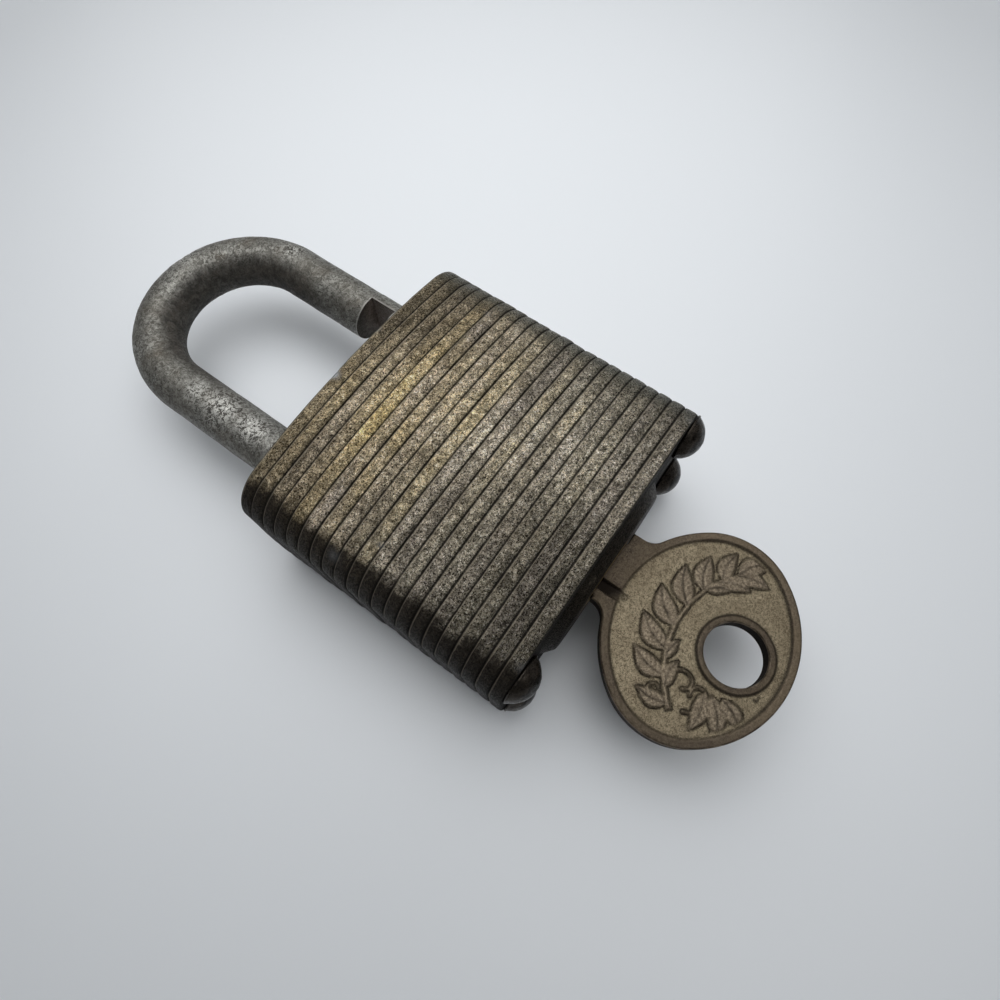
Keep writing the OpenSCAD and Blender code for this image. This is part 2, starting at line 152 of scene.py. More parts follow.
def spread(value, low, high, to_low=0.0, to_high=1.0):
    """A smooth step of value between low and high."""
    return add(value.tree, "MapRange", {0: value, 1: low, 2: high, 3: to_low, 4: to_high},
               interpolation_type="SMOOTHSTEP")[0]


def tint(amount, low, high):
    """Low where amount is 0 and high where it is 1."""
    return add(amount.tree, "Mix", {0: amount, 6: low, 7: high}, data_type="RGBA")[2]


def new_material(name):
    """A material with one metal shader. Returns the material, its tree and the shader."""
    made = bpy.data.materials.new(name)
    made.use_nodes = True
    return made, made.node_tree, made.node_tree.nodes["Principled BSDF"]


def make_piece(name, vertices, faces, material, body, replaced=(), sharp=35, values=None):
    """Builds a mesh, lays its values on the vertices and seats it on its body."""
    mesh = bpy.data.meshes.new(name)
    mesh.from_pydata([tuple(v) for v in vertices], [], faces)
    for key, numbers in (values or {}).items():
        laid = mesh.attributes.new(key, "FLOAT", "POINT")
        laid.data.foreach_set("value", np.asarray(numbers, np.float32))
    mesh.shade_smooth()
    mesh.set_sharp_from_angle(angle=math.radians(sharp))
    mesh.materials.append(material)
    made = bpy.data.objects.new(name, mesh)
    bpy.context.scene.collection.objects.link(made)
    if body:
        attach(made, body)
    if replaced:
        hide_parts(*replaced)
    return made


bench, tree, shader = new_material("bench_satin_white")
feed(shader, Roughness=0.32, Specular_IOR_Level=0.35, Emission_Strength=1.0)
mottle = add(tree, "TexNoise", {"Vector": add(tree, "TexCoord")["Object"], "Scale": 9.0, "Detail": 3.0})
reach = add(tree, "VectorMath", {0: add(tree, "TexCoord")["Object"]}, operation="LENGTH")["Value"]
# Far from the middle the bench glows: painted light in place of the room's light
feed(shader, Base_Color=tint(mottle[0], (0.77, 0.8, 0.83, 1), BENCH_COLOUR),
     Emission_Color=tint(spread(reach, *GLOW_PAST), (0, 0, 0, 1), (0.42, 0.44, 0.46, 1)))
steps = np.linspace(-BENCH_HALF, BENCH_HALF, BENCH_CELLS + 1)
bench_points = [(x, y, BENCH_Z) for x in steps for y in steps]
bench_faces = [(k, k + len(steps), k + len(steps) + 1, k + 1)
               for i in range(BENCH_CELLS) for k in range(i * len(steps), i * len(steps) + BENCH_CELLS)]
make_piece("bench", bench_points, bench_faces, bench, None)


def add_lamp(name, spot, aim, size, power, spread_angle=180):
    """A square soft lamp that points from spot to aim, with its beam's angle in degrees."""
    lamp = bpy.data.lights.new(name, "AREA")
    lamp.size = size
    lamp.energy = power
    lamp.spread = math.radians(spread_angle)
    made = bpy.data.objects.new(name, lamp)
    made.location = spot
    made.rotation_euler = (Vector(aim) - Vector(spot)).to_track_quat("-Z", "Y").to_euler()
    bpy.context.scene.collection.objects.link(made)


add_lamp("ceiling", (0.15, 0.13, 0.24), (0.0, 0.02, 0.0), 0.40, 0.34)
add_lamp("window", (0.06, -0.10, 0.25), (0.03, -0.01, 0.0), 0.30, 0.076, 70)
add_lamp("far_window", (0.03, 0.14, 0.25), (0.01, 0.05, 0.0), 0.30, 0.022, 70)
add_lamp("bench_lamp", (0.05, 0.05, 0.16), (0.045, 0.035, 0.0), 0.16, 0.043, 90)

room = bpy.data.worlds.new("room")
bpy.context.scene.world = room
room.use_nodes = True
tree = room.node_tree
toward = add(tree, "VectorMath", {0: add(tree, "TexCoord")["Generated"], 1: (0.38, 0.28, 0.88)},
             operation="DOT_PRODUCT")
glow = spread(toward["Value"], -0.25, 0.95, 0.1, 1.0)
sky = tint(glow, (0.02, 0.02, 0.022, 1), (0.92, 0.96, 1.0, 1))
seen = add(tree, "LightPath")["Is Camera Ray"]
feed(tree.nodes["Background"], Color=tint(seen, sky, (0.62, 0.65, 0.68, 1)),
     Strength=spread(seen, 0, 1, 0.15, 1.0))

# ---------------------------------------------------------------- Laminated plates
# Twenty-one plates stamped from 1.7 mm steel, stacked face to face to make the body.
# Stamping rolls one edge of each plate and leaves the other sharper, with a faint torn band.
# They carry a brown tarnish, which turns grey on the lower plates and is brassy in streaks near the shackle.
PLATE_NAMES = sorted(n for n in frame["nodes"] if n.startswith("plate_"))
CORNER_R = 5 * MM
FACE_FALL = 1.2 * MM
RIM_POINTS = 440
SEAM_HALF = 0.012 * MM
# Rolled edge: drop and inset as shares of its depth, then how worn it is and how dark it is painted, as dirt
# in the seam
ROLL = [(0.0, 1.0, 0.0, 1.0), (0.16, 0.56, 0.0, 1.0), (0.42, 0.27, 0.4, 0.85), (0.75, 0.10, 1.0, 0.15),
        (1.5, 0.03, 0.3, 0.0), (2.4, 0.0, 0.0, 0.0)]
ROLL_DEPTH = (0.12 * MM, 0.26 * MM)
# Torn edge: height above the lower face and inset in mm, then how worn it is and how dark it is painted: dirt
# in the seam, and painted shade on the flank above it
TORN = [(0.62, 0.0, 0.0, 0.0), (0.38, 0.012, 0.0, 0.12), (0.33, 0.045, 0.5, 0.25), (0.26, 0.040, 0.1, 0.20),
        (0.15, 0.055, 0.4, 0.40), (0.09, 0.080, 0.0, 0.95), (0.0, 0.16, 0.0, 1.0)]
PLATE_TILT = 0.08 * MM
STAGGER = 0.07 * MM
WAVE = 0.035 * MM
BOSS_HALF = (12 * MM, 7.25 * MM)
BOSS_SLOPE = 1.2 * MM
BOSS_POINTS = 120
# Rings of the boss, from its foot to its flat top: share of its rise, and inset as a share of its slope
BOSS_RINGS = [(0.0, -0.25), (0.05, -0.08), (0.18, 0.05), (0.82, 0.86), (0.95, 1.04), (1.0, 1.3)]
BORE_CHAMFER = 0.1 * MM
PLUG_X = -0.5 * MM
# Gold, place of its middle in mm, its half width in mm, mauve, and lightness, from the shackle end down
PLATE_TONES = [
    (0.25, -4, 9, 0.15, 0.66), (0.35, -4, 9, 0.10, 0.76), (0.40, 4, 6, 0.35, 0.82),
    (0.45, 1, 10, 0.25, 0.94), (0.95, -2, 13, 0.00, 1.22), (0.40, -2, 12, 0.65, 1.10),
    (0.55, -4, 10, 0.25, 1.30), (0.30, 0, 10, 0.40, 1.26), (0.30, 4, 12, 0.30, 1.22),
    (0.45, -2, 14, 0.05, 1.32), (0.25, 8, 7, 0.50, 1.12), (0.15, 0, 9, 0.50, 1.04),
    (0.30, 5, 12, 0.15, 1.16), (0.12, 0, 9, 0.40, 1.06), (0.25, 6, 8, 0.30, 1.03),
    (0.12, -4, 9, 0.45, 1.00), (0.10, 0, 9, 0.20, 0.95), (0.12, 2, 12, 0.20, 0.88),
    (0.05, 0, 9, 0.50, 0.78), (0.04, 4, 9, 0.60, 0.66), (0.04, 0, 9, 0.35, 0.70)]
# Painted sheen, a paler band where the lamps' sheen falls on the front: middle on the first plate, move per
# plate and half width in mm, strength
PAINTED_SHEEN = (-2.0, 0.45, 6.5, 0.85)
# How the painted sheen leans to the toe side down the stack, as painted light that falls off towards one
# side: strength, reach in mm, level plate, plates to full
SHEEN_LEANING = (0.25, 16, 8, 12)
# The brown turns grey between these two plates
TURNS_GREY = (3, 13)
# The sides are painted dark, as tarnish and as painted shade, from this far out, within this run
SIDE_FROM, SIDE_RUN = 13 * MM, 6 * MM
# Knocks: x, y and z in mm from the middle of the body's front, radius in mm, depth in mm, bare steel
KNOCKS = [(-2.2, 17.8, 0.0, 0.60, 0.26, 0.9), (5.4, 17.9, -0.1, 0.5, 0.10, 0.2),
          (15.2, 9.2, -0.9, 0.6, 0.10, 0.15), (-14.6, 1.1, -1.1, 0.45, 0.10, 0.2),
          (11.9, -8.6, -0.6, 0.4, 0.08, 0.1),
          (-17.8, 4.8, -3.0, 0.8, 0.12, 0.2), (16.9, -17.6, -1.5, 0.7, 0.14, 0.1),
          (-16.2, -17.7, -1.2, 0.6, 0.12, 0.15), (2.1, -5.5, 0.0, 0.35, 0.05, 0.1),
          (17.5, 13.7, -2.6, 0.7, 0.10, 0.2), (-7.7, -12.3, -0.2, 0.4, 0.05, 0.1)]

body_low, body_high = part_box("plate_10")
half_w = body_high.x
mid_z = (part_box("key")[1].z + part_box("key")[0].z) / 2
half_t = body_high.z - mid_z
plate_t = body_high.y - body_low.y


def open_effect(name, inputs, outputs=("Mask",)):
    """Starts a node group that metals share. Returns it, its inputs and the node for its outputs."""
    tree = bpy.data.node_groups.new(name, "ShaderNodeTree")
    for key, value in inputs.items():
        kind = "NodeSocketVector" if isinstance(value, tuple) else "NodeSocketFloat"
        tree.interface.new_socket(name=key, in_out="INPUT", socket_type=kind).default_value = value
    for key in outputs:
        tree.interface.new_socket(name=key, in_out="OUTPUT", socket_type="NodeSocketFloat")
    return tree, Outputs(tree.nodes.new("NodeGroupInput")), tree.nodes.new("NodeGroupOutput")


def use_effect(tree, effect, **entries):
    """Places a shared effect in a material with its own values, and returns its outputs."""
    made = tree.nodes.new("ShaderNodeGroup")
    made.node_tree = effect
    set_inputs(made, entries)
    return Outputs(made)


def mask(tree, effect, **entries):
    """The mask of a shared effect that makes only one."""
    return use_effect(tree, effect, **entries)["Mask"]


def read(tree, name):
    """A value that was laid on the vertices."""
    return add(tree, "Attribute", attribute_name=name)["Fac"]


def finish(shader, body, rough, height, strength, distance, **more):
    """Joins a metal's colour, roughness and bump to its shader. The bump's distance is in metres."""
    bump = add(height.tree, "Bump", {"Height": height, "Strength": strength, "Distance": distance})[0]
    feed(shader, Base_Color=body, Roughness=rough, Normal=bump, **more)


def soft_noise(tree, scale, stretch=None, **entries):
    """Noise on the piece's own place, maybe drawn out along the axes that stretch shortens."""
    place = add(tree, "TexCoord")["Object"]
    if stretch:
        place = add(tree, "VectorMath", {0: place, 1: stretch}, operation="MULTIPLY")[0]
    return add(tree, "TexNoise", {"Vector": place, "Scale": scale, **entries},
               noise_dimensions="4D" if "W" in entries else "3D")[0]


# Fine grain of corroded metal: dark and pale specks of about the given size, and a few bright glints, painted
# into the colour as highlights
grain, start, end = open_effect("metal_grain", {"Size": 0.0004, "Spread": 0.1},
                                ("Speck", "Glint", "Relief"))
scale = 1.0 / start["Size"]
coarse = soft_noise(grain, scale, Detail=4.0, Roughness=0.72, Distortion=1.2)
painted_glints = soft_noise(grain, scale * 1.15, W=4.0, Detail=3.0, Roughness=0.75, Distortion=1.0)
feed(end, Speck=spread(coarse, 0.5 - start["Spread"], start["Spread"] + 0.5), Relief=coarse,
     Glint=spread(painted_glints, 0.53, 0.68))

# Broad patches of tarnish with soft, broken borders
patches, start, end = open_effect(
    "tarnish_patches",
    {"Stretch": (1.0, 1.0, 1.0), "Size": 0.004, "Cover": 0.5, "Softness": 0.12, "Shift": 0.0})
cloud = soft_noise(patches, 1.0 / start["Size"], start["Stretch"], W=start["Shift"], Detail=5.0,
                   Roughness=0.62)
limit = 1.0 - start["Cover"]
feed(end, Mask=spread(cloud, limit - start["Softness"], limit + start["Softness"]))

# Wear that breaks up along the edges that hands and pockets rub
rubbed, start, end = open_effect("rubbed_edges", {"Edge": 0.0, "Size": 0.0012, "Wear": 0.5})
broken = soft_noise(rubbed, 1.0 / start["Size"], Detail=4.0, Roughness=0.65)
feed(end, Mask=spread(start["Edge"] * 0.8 + broken, 1.45 - start["Wear"], 1.7 - start["Wear"]))

# Dirt that gathers wherever another face stands close by, and painted shade that falls in the same crevices
dirt_and_shade, start, end = open_effect("crevice_dirt", {"Reach": 0.0008, "Size": 0.0006})
shade = add(dirt_and_shade, "AmbientOcclusion", {"Distance": start["Reach"]}, samples=6)["AO"]
crumbs = soft_noise(dirt_and_shade, 1.0 / start["Size"], Detail=3.0)
feed(end, Mask=spread((1.0 - shade) * (crumbs + 0.55), 0.08, 0.6))

# Fine scratches, drawn out along the axis that Stretch shortens
scratches, start, end = open_effect(
    "scratches", {"Stretch": (0.04, 1.0, 1.0), "Size": 0.00022, "Amount": 0.3})
lines = soft_noise(scratches, 1.0 / start["Size"], start["Stretch"], Detail=1.5, Distortion=0.3)
limit = 0.92 - start["Amount"] * 0.4
feed(end, Mask=spread(lines, limit, limit + 0.06))


def body_outline():
    """Points and outward directions round the body, evenly spaced, with the rest strip flat."""
    corner_x = half_w - CORNER_R
    face_r = (corner_x ** 2 + FACE_FALL ** 2) / (2 * FACE_FALL)
    rise = math.sqrt((face_r - CORNER_R) ** 2 - corner_x ** 2)
    corner_z = half_t - face_r + rise
    tip = math.atan2(rise, corner_x)
    arcs = [(corner_x, corner_z, CORNER_R, 0, tip), (0, half_t - face_r, face_r, tip, math.pi - tip),
            (-corner_x, corner_z, CORNER_R, math.pi - tip, math.pi)]
    arcs += [(-x, -z, r, a + math.pi, b + math.pi) for x, z, r, a, b in arcs]
    dense = np.array([(x + r * math.cos(a), z + r * math.sin(a), math.cos(a), math.sin(a))
                      for x, z, r, low, high in arcs for a in np.linspace(low, high, 400)])
    run = np.r_[0, np.cumsum(np.hypot(*np.diff(dense[:, :2], axis=0).T))]
    even = np.linspace(0, run[-1], RIM_POINTS, endpoint=False)
    return np.array([np.interp(even, run, dense[:, k]) for k in range(4)]).T


def hole_outlines(node, level):
    """The outlines of the holes in a plate's flat face at this level, as they were punched."""
    edges = {}
    mesh = frame["nodes"][node].data
    for polygon in mesh.polygons:
        corners = [mesh.vertices[i].co for i in polygon.vertices]
        if all(abs(v.y - level) < 1e-6 for v in corners):
            keys = [(round(v.x * 1e6), round(v.z * 1e6)) for v in corners]
            for a, b in zip(keys, keys[1:] + keys[:1]):
                edges.setdefault(frozenset((a, b)), []).append((a, b))
    following = dict(e[0] for e in edges.values() if len(e) == 1)
    loops = []
    while following:
        loop = [next(iter(following))]
        while loop[-1] in following:
            loop.append(following.pop(loop[-1]))
        loops.append([(x * 1e-6, z * 1e-6) for x, z in loop[:-1]])
    width = [max(x for x, _ in loop) - min(x for x, _ in loop) for loop in loops]
    loops.pop(int(np.argmax(width)))
    return loops


def step(value, low, high):
    """A smooth step from 0 to 1."""
    share = np.clip((value - low) / (high - low), 0, 1)
    return share * share * (3 - 2 * share)


def wobble(x, y, z, size, shift=0.0):
    """Smooth noise about 0 with features of this size."""
    return noise.noise(Vector((x / size + shift, y / size, z / size)))


def cap(faces, rings, flip):
    """Fills the flat face between an outer ring of vertex numbers and the rings of its holes."""
    numbers = [n for ring, _ in rings for n in ring]
    for a, b, c in tessellate_polygon([[Vector((x, z, 0)) for x, z in spots] for _, spots in rings]):
        faces.append((numbers[a], numbers[b], numbers[c]) if flip else (numbers[c], numbers[b], numbers[a]))


def join_rings(faces, first, second):
    """A band of four-sided faces between two rings of vertex numbers."""
    for k in range(len(first)):
        after = (k + 1) % len(first)
        faces.append((first[k], first[after], second[after], second[k]))


class PlateMesh:
    """Gathers one plate's vertices, faces and laid-on values."""

    def __init__(self, number):
        self.number = number
        self.points, self.faces = [], []
        self.values = {k: [] for k in ("edge", "seam", "side", "gold", "mauve", "grey", "light", "bare")}

    def add_ring(self, spots, y, edge=0.0, seam=0.0, side=None):
        """Adds a ring of points at the level y, knocked in where the body has been struck."""
        first = len(self.points)
        gold, middle, reach, mauve, light = PLATE_TONES[self.number]
        sheen_first, sheen_move, sheen_half, sheen_strength = PAINTED_SHEEN
        sheen_x = sheen_first + sheen_move * self.number
        lean, lean_reach, level_plate, full = SHEEN_LEANING
        lean *= (self.number - level_plate) / full
        for k, (x, z) in enumerate(spots):
            bare = 0.0
            point = Vector((x, y, z))
            for kx, ky, kz, r, depth, shine in KNOCKS:
                away = (point - Vector((kx * MM, ky * MM, mid_z + half_t + kz * MM))).length / (r * MM)
                if away < 2:
                    push = math.exp(-away * away * 1.5)
                    point.z -= push * depth * MM
                    bare = max(bare, shine * push)
            self.points.append(point)
            fade = math.exp(-((x / MM - middle) / reach) ** 2)
            # Painted light: the plate is paler where the lamps' sheen falls, and turns lighter or darker
            # towards the toe side down the stack
            painted_light = 1 + sheen_strength * math.exp(-((x / MM - sheen_x) / sheen_half) ** 2)
            painted_light += lean * max(-1.0, min(1.0, x / MM / lean_reach))
            row = {"edge": edge, "seam": seam, "side": 1.0 if side is None else side[k],
                   "gold": gold * fade, "mauve": mauve, "grey": step(self.number, *TURNS_GREY),
                   "light": light * painted_light, "bare": bare}
            for key, value in row.items():
                self.values[key].append(value)
        return list(range(first, first + len(spots)))


outline = body_outline()
# How far round the side a point lies: towards 1 on the heel side, and towards -1 on the other
turned = np.clip((np.abs(outline[:, 0]) - SIDE_FROM) / SIDE_RUN, 0, 1) * -np.sign(outline[:, 0])


def plate_rim(mesh, y_low, y_high, index):
    """The stamped edge of a plate: rings from its rolled upper edge to its torn lower edge."""
    shift_x = STAGGER * wobble(index * 1.7, 3.1, 0.4, 1.0)
    shift_z = STAGGER * (0.5 + wobble(index * 2.3, 7.7, 1.9, 1.0)) * 0.8
    depth = ROLL_DEPTH[0] + (ROLL_DEPTH[1] - ROLL_DEPTH[0]) * (0.5 + wobble(index * 3.9, 1.1, 5.2, 1.0))
    tilt = PLATE_TILT * wobble(index * 5.3, 2.2, 8.1, 1.0) * 2
    base = []
    for x, z, nx, nz in outline:
        wave = 0.6 + wobble(x, index * 11 * MM, z, 5 * MM) + 0.5 * wobble(x, index * 13 * MM, z, 1.2 * MM)
        base.append(abs(shift_x) + shift_x * nx + abs(shift_z) + shift_z * nz + WAVE * max(wave, 0.0))
    local = [0.55 + 0.9 * abs(wobble(x, index * 17 * MM, z, 9 * MM)) + 0.6 * step(abs(x), 15 * MM, 19 * MM)
             for x, z, _, _ in outline]

    def ring(y, share, edge, seam):
        spots = []
        lean = tilt * (y - y_low) / (y_high - y_low) + max(-tilt, 0.0)
        for (x, z, nx, nz), inset, factor in zip(outline, base, local):
            inward = inset + lean + depth * share * factor
            spots.append((x - nx * inward, max(mid_z + z - nz * inward, 0.0)))
        return mesh.add_ring(spots, y, edge, seam, turned), spots

    rings = [ring(y_high - drop * depth, share, edge, seam) for drop, share, edge, seam in ROLL]
    rings += [ring(y_low + rise * MM, inset * MM / depth, edge, seam) for rise, inset, edge, seam in TORN]
    for (upper, _), (lower, _) in zip(rings, rings[1:]):
        join_rings(mesh.faces, upper, lower)
    return rings[0], rings[-1]


def hole_walls(mesh, node, y_low, y_high):
    """The punched holes: two rings each, and the wall between them."""
    tops, lows = [], []
    for loop in hole_outlines(node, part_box(node)[1].y):
        upper = mesh.add_ring(loop, y_high, 0.3, 0.6)
        lower = mesh.add_ring(loop, y_low, 0.3, 0.6)
        join_rings(mesh.faces, lower, upper)
        tops.append((upper, loop))
        lows.append((lower, loop))
    return tops, lows


plate_steel, tree, shader = new_material("tarnished_plate_steel")
feed(shader, Specular_IOR_Level=0.2)
edge, seam, side = [read(tree, name) for name in ("edge", "seam", "side")]
speck = use_effect(tree, grain, Size=0.00019, Spread=0.06)
crust = use_effect(tree, grain, Size=0.0012, Spread=0.11)
band = mask(tree, patches, Size=0.0006, Cover=0.5, Softness=0.25, Stretch=(0.05, 1.0, 0.4), Shift=5.0)
cloud = mask(tree, patches, Size=0.004, Cover=0.5, Softness=0.15, Stretch=(0.7, 1.0, 1.0))
drift = mask(tree, patches, Size=0.0032, Cover=0.5, Softness=0.16, Stretch=(0.45, 1.2, 1.0), Shift=7.0)
bloom = mask(tree, patches, Size=0.011, Cover=0.5, Softness=0.16, Shift=11.0)
ragged = mask(tree, patches, Size=0.0026, Cover=0.5, Softness=0.24, Stretch=(1.0, 0.8, 1.0), Shift=2.0)
streak = mask(tree, scratches, Size=0.0002, Amount=0.55, Stretch=(0.05, 1.0, 0.3))


def speckled(dark, middle, glint_colour):
    """A colour that runs from dark to middle with the specks, with pale painted glints that stand in for
    highlights.
    """
    ground = tint(speck["Speck"], dark, middle)
    return tint(speck["Glint"] * 0.9, ground, glint_colour)


brown = speckled((0.026, 0.018, 0.010, 1), (0.290, 0.232, 0.145, 1), (0.800, 0.700, 0.500, 1))
grey = speckled((0.022, 0.018, 0.013, 1), (0.274, 0.244, 0.181, 1), (0.740, 0.700, 0.600, 1))
mauve = speckled((0.030, 0.024, 0.020, 1), (0.280, 0.243, 0.205, 1), (0.780, 0.710, 0.650, 1))
gold = speckled((0.060, 0.041, 0.016, 1), (0.385, 0.294, 0.140, 1), (0.860, 0.740, 0.450, 1))
olive_shade = speckled((0.020, 0.018, 0.013, 1), (0.115, 0.108, 0.080, 1), (0.300, 0.295, 0.240, 1))
body = tint(read(tree, "grey"), brown, grey)
body = tint(calc("MULTIPLY", read(tree, "mauve"), drift + 0.25, clamp=True), body, mauve)
gilt = calc("MULTIPLY", read(tree, "gold"), spread(cloud, 0, 1, 0.3, 1.05), clamp=True)
body = tint(gilt, body, gold)
# The laid-on lightness holds the painted sheen
light = read(tree, "light") * spread(crust["Speck"], 0, 1, 0.72, 1.54)
light = light * spread(bloom, 0, 1, 0.84, 1.14)
light = light * spread(band, 0, 1, 0.8, 1.3)
body = add(tree, "VectorMath", {0: body, 3: light}, operation="SCALE")[0]
worn = mask(tree, rubbed, Edge=edge, Size=0.0016, Wear=0.62)
body = tint(worn * 0.42, body, (0.5, 0.44, 0.33, 1))
body = tint(streak * 0.22, body, (0.46, 0.4, 0.31, 1))
# The toe side turns dark olive: olive tarnish, deepened as painted shade
body = tint(spread(side * -1.0, 0.2, 0.8) * 0.85, body, olive_shade)
# The heel side is painted near black: dark tarnish, and painted shade where it turns away from the lamps
border = side + (ragged - 0.5) * 0.26
painted_side_shade = spread(border, 0.52, 0.8) * 0.96
body = tint(painted_side_shade, body, tint(speck["Speck"], (0.003, 0.002, 0.001, 1), (0.018, 0.013, 0.008, 1)))
# The plates' edges on the dark side are painted pale: wear, and painted highlights where the rounded edges
# catch the light
body = tint(worn * (painted_side_shade * 0.42), body, (0.26, 0.22, 0.17, 1))
# Dirt and painted shade in the crevices
soil_and_shade = mask(tree, dirt_and_shade, Reach=0.0006, Size=0.0009)
# Seam darkening: dirt in the seams, and painted shade on each plate's flank above its lower seam
seam = seam * spread(ragged, 0, 1, 1.0, 0.86)
body = tint(calc("MAXIMUM", seam, soil_and_shade * 0.9), body, (0.005, 0.0035, 0.002, 1))
body = tint(read(tree, "bare"), body, (0.62, 0.65, 0.7, 1))
rough = spread(speck["Speck"], 0, 1, 0.6, 0.34) + seam * 0.3
rough = rough + painted_side_shade * 0.08
metal = 0.92 - calc("MAXIMUM", painted_side_shade * 0.5, seam)
height = speck["Relief"] * 0.8 + crust["Relief"] * 0.9
height = height - streak * 0.12
finish(shader, body, rough, height, 1.0, 0.00016, Metallic=metal)

for index, node in enumerate(PLATE_NAMES):
    mesh = PlateMesh(index)
    low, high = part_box(node)
    y_high = high.y - SEAM_HALF
    y_low = high.y - plate_t + SEAM_HALF
    (top_ring, top_spots), (low_ring, low_spots) = plate_rim(mesh, y_low, y_high, index)
    tops, lows = hole_walls(mesh, node, y_low, y_high)
    cap(mesh.faces, [(top_ring, top_spots)] + tops, True)
    if node != PLATE_NAMES[-1]:
        cap(mesh.faces, [(low_ring, low_spots)] + lows, False)
    else:
        # The last plate's boss: a long oval, raised round the bore that the plug shows through
        middles = [np.mean([x for x, _ in loop]) for _, loop in lows]
        bore = int(np.argmin(np.abs(np.array(middles) - PLUG_X)))
        bore_x = middles[bore]
        bore_ring, bore_spots = lows.pop(bore)
        rings = []
        for rise, inset in BOSS_RINGS:
            end_r = BOSS_HALF[1] - BOSS_SLOPE * inset
            spots = []
            for k in range(BOSS_POINTS):
                a = 2 * math.pi * k / BOSS_POINTS
                reach = math.copysign(BOSS_HALF[0] - BOSS_HALF[1], math.cos(a))
                spots.append((bore_x + reach + end_r * math.cos(a), mid_z + end_r * math.sin(a)))
            level = y_low - rise * (y_low - low.y)
            rings.append((mesh.add_ring(spots, level, 0.35 if 0.1 < rise < 1 else 0.1, rise == 0), spots))
        cap(mesh.faces, [(low_ring, low_spots), rings[0]] + lows, False)
        for (upper, _), (lower, _) in zip(rings, rings[1:]):
            join_rings(mesh.faces, upper, lower)
        wider = [(bore_x + (x - bore_x) * 1.02, mid_z + (z - mid_z) * 1.02) for x, z in bore_spots]
        outer = mesh.add_ring(wider, low.y, 0.9)
        inner = mesh.add_ring(bore_spots, low.y + BORE_CHAMFER, 0.9)
        join_rings(mesh.faces, outer, inner)
        join_rings(mesh.faces, inner, bore_ring)
        cap(mesh.faces, [rings[-1], (outer, bore_spots)], False)
    make_piece(f"stamped_{node}", mesh.points, mesh.faces, plate_steel, "case", [node],
               values=mesh.values)

# ---------------------------------------------------------------- Rivets
# Four steel rivets clamp the stack from end to end.
# Their button heads sit under the bottom plate, and their other ends are hammered flat on the top one.
rivet_low, rivet_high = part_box("rivets")
HEAD_R = 2.95 * MM
END_R = 2.2 * MM
SHANK_R = 1.6 * MM
BODY_END = 17.85 * MM
RIVET_SIDES = 64

# Corrosion pits, a few round specks with a dark floor
pits, start, end = open_effect("pits", {"Size": 0.0009, "Amount": 0.3})
cells = add(pits, "TexVoronoi", {"Vector": add(pits, "TexCoord")["Object"], "Scale": 1.0 / start["Size"],
                                 "Randomness": 1.0})
chosen = add(pits, "SeparateColor", {0: cells["Color"]})[0]
near = 1.0 - spread(cells["Distance"], 0.05, 0.32)
feed(end, Mask=near * calc("LESS_THAN", chosen, start["Amount"]))

rivet_steel, tree, shader = new_material("blackened_rivet_steel")
feed(shader, Specular_IOR_Level=0.3)
speck = use_effect(tree, grain, Size=0.0005, Spread=0.12)
cloud = mask(tree, patches, Size=0.0022, Cover=0.42, Softness=0.14)
body = tint(speck["Speck"], (0.003, 0.0025, 0.002, 1), (0.012, 0.01, 0.008, 1))
body = tint(cloud * 0.5, body, (0.028, 0.02, 0.013, 1))
worn = mask(tree, rubbed, Edge=read(tree, "edge"), Size=0.0011, Wear=0.55)
body = tint(worn * 0.35, body, (0.12, 0.1, 0.08, 1))
pitted = mask(tree, pits, Size=0.0007, Amount=0.3)
body = tint(pitted, body, (0.012, 0.01, 0.008, 1))
# Dirt and painted shade in the crevices
soil_and_shade = mask(tree, dirt_and_shade, Reach=0.0012)
body = tint(soil_and_shade, body, (0.01, 0.008, 0.006, 1))
rough = spread(speck["Speck"], 0, 1, 0.42, 0.2)
height = speck["Relief"] * 0.7 - pitted * 0.5
finish(shader, body, rough, height, 0.8, 0.00008, Metallic=0.75)


def dome_profile(r, h, steps, y, way):
    """Radius and level from a dome's edge to its top; the edge is slightly rounded under."""
    ball = (r * r + h * h) / (2 * h)
    profile = [(r * 0.94, y), (r * 0.995, y + way * 0.08 * h), (r, y + way * 0.16 * h)]
    for k in range(1, steps + 1):
        radius = r * math.cos(math.pi / 2 * k / steps) ** 0.9 if k < steps else 0.0
        rise = h - ball + math.sqrt(ball * ball - radius * radius)
        profile.append((radius, y + way * max(rise, 0.17 * h)))
    return profile


def close_end(faces, ring, middle, flip):
    """Fills a ring of vertex numbers with a fan of faces round its middle vertex."""
    for pair in zip(ring, ring[1:] + ring[:1]):
        faces.append((middle, *(pair[::-1] if flip else pair)))


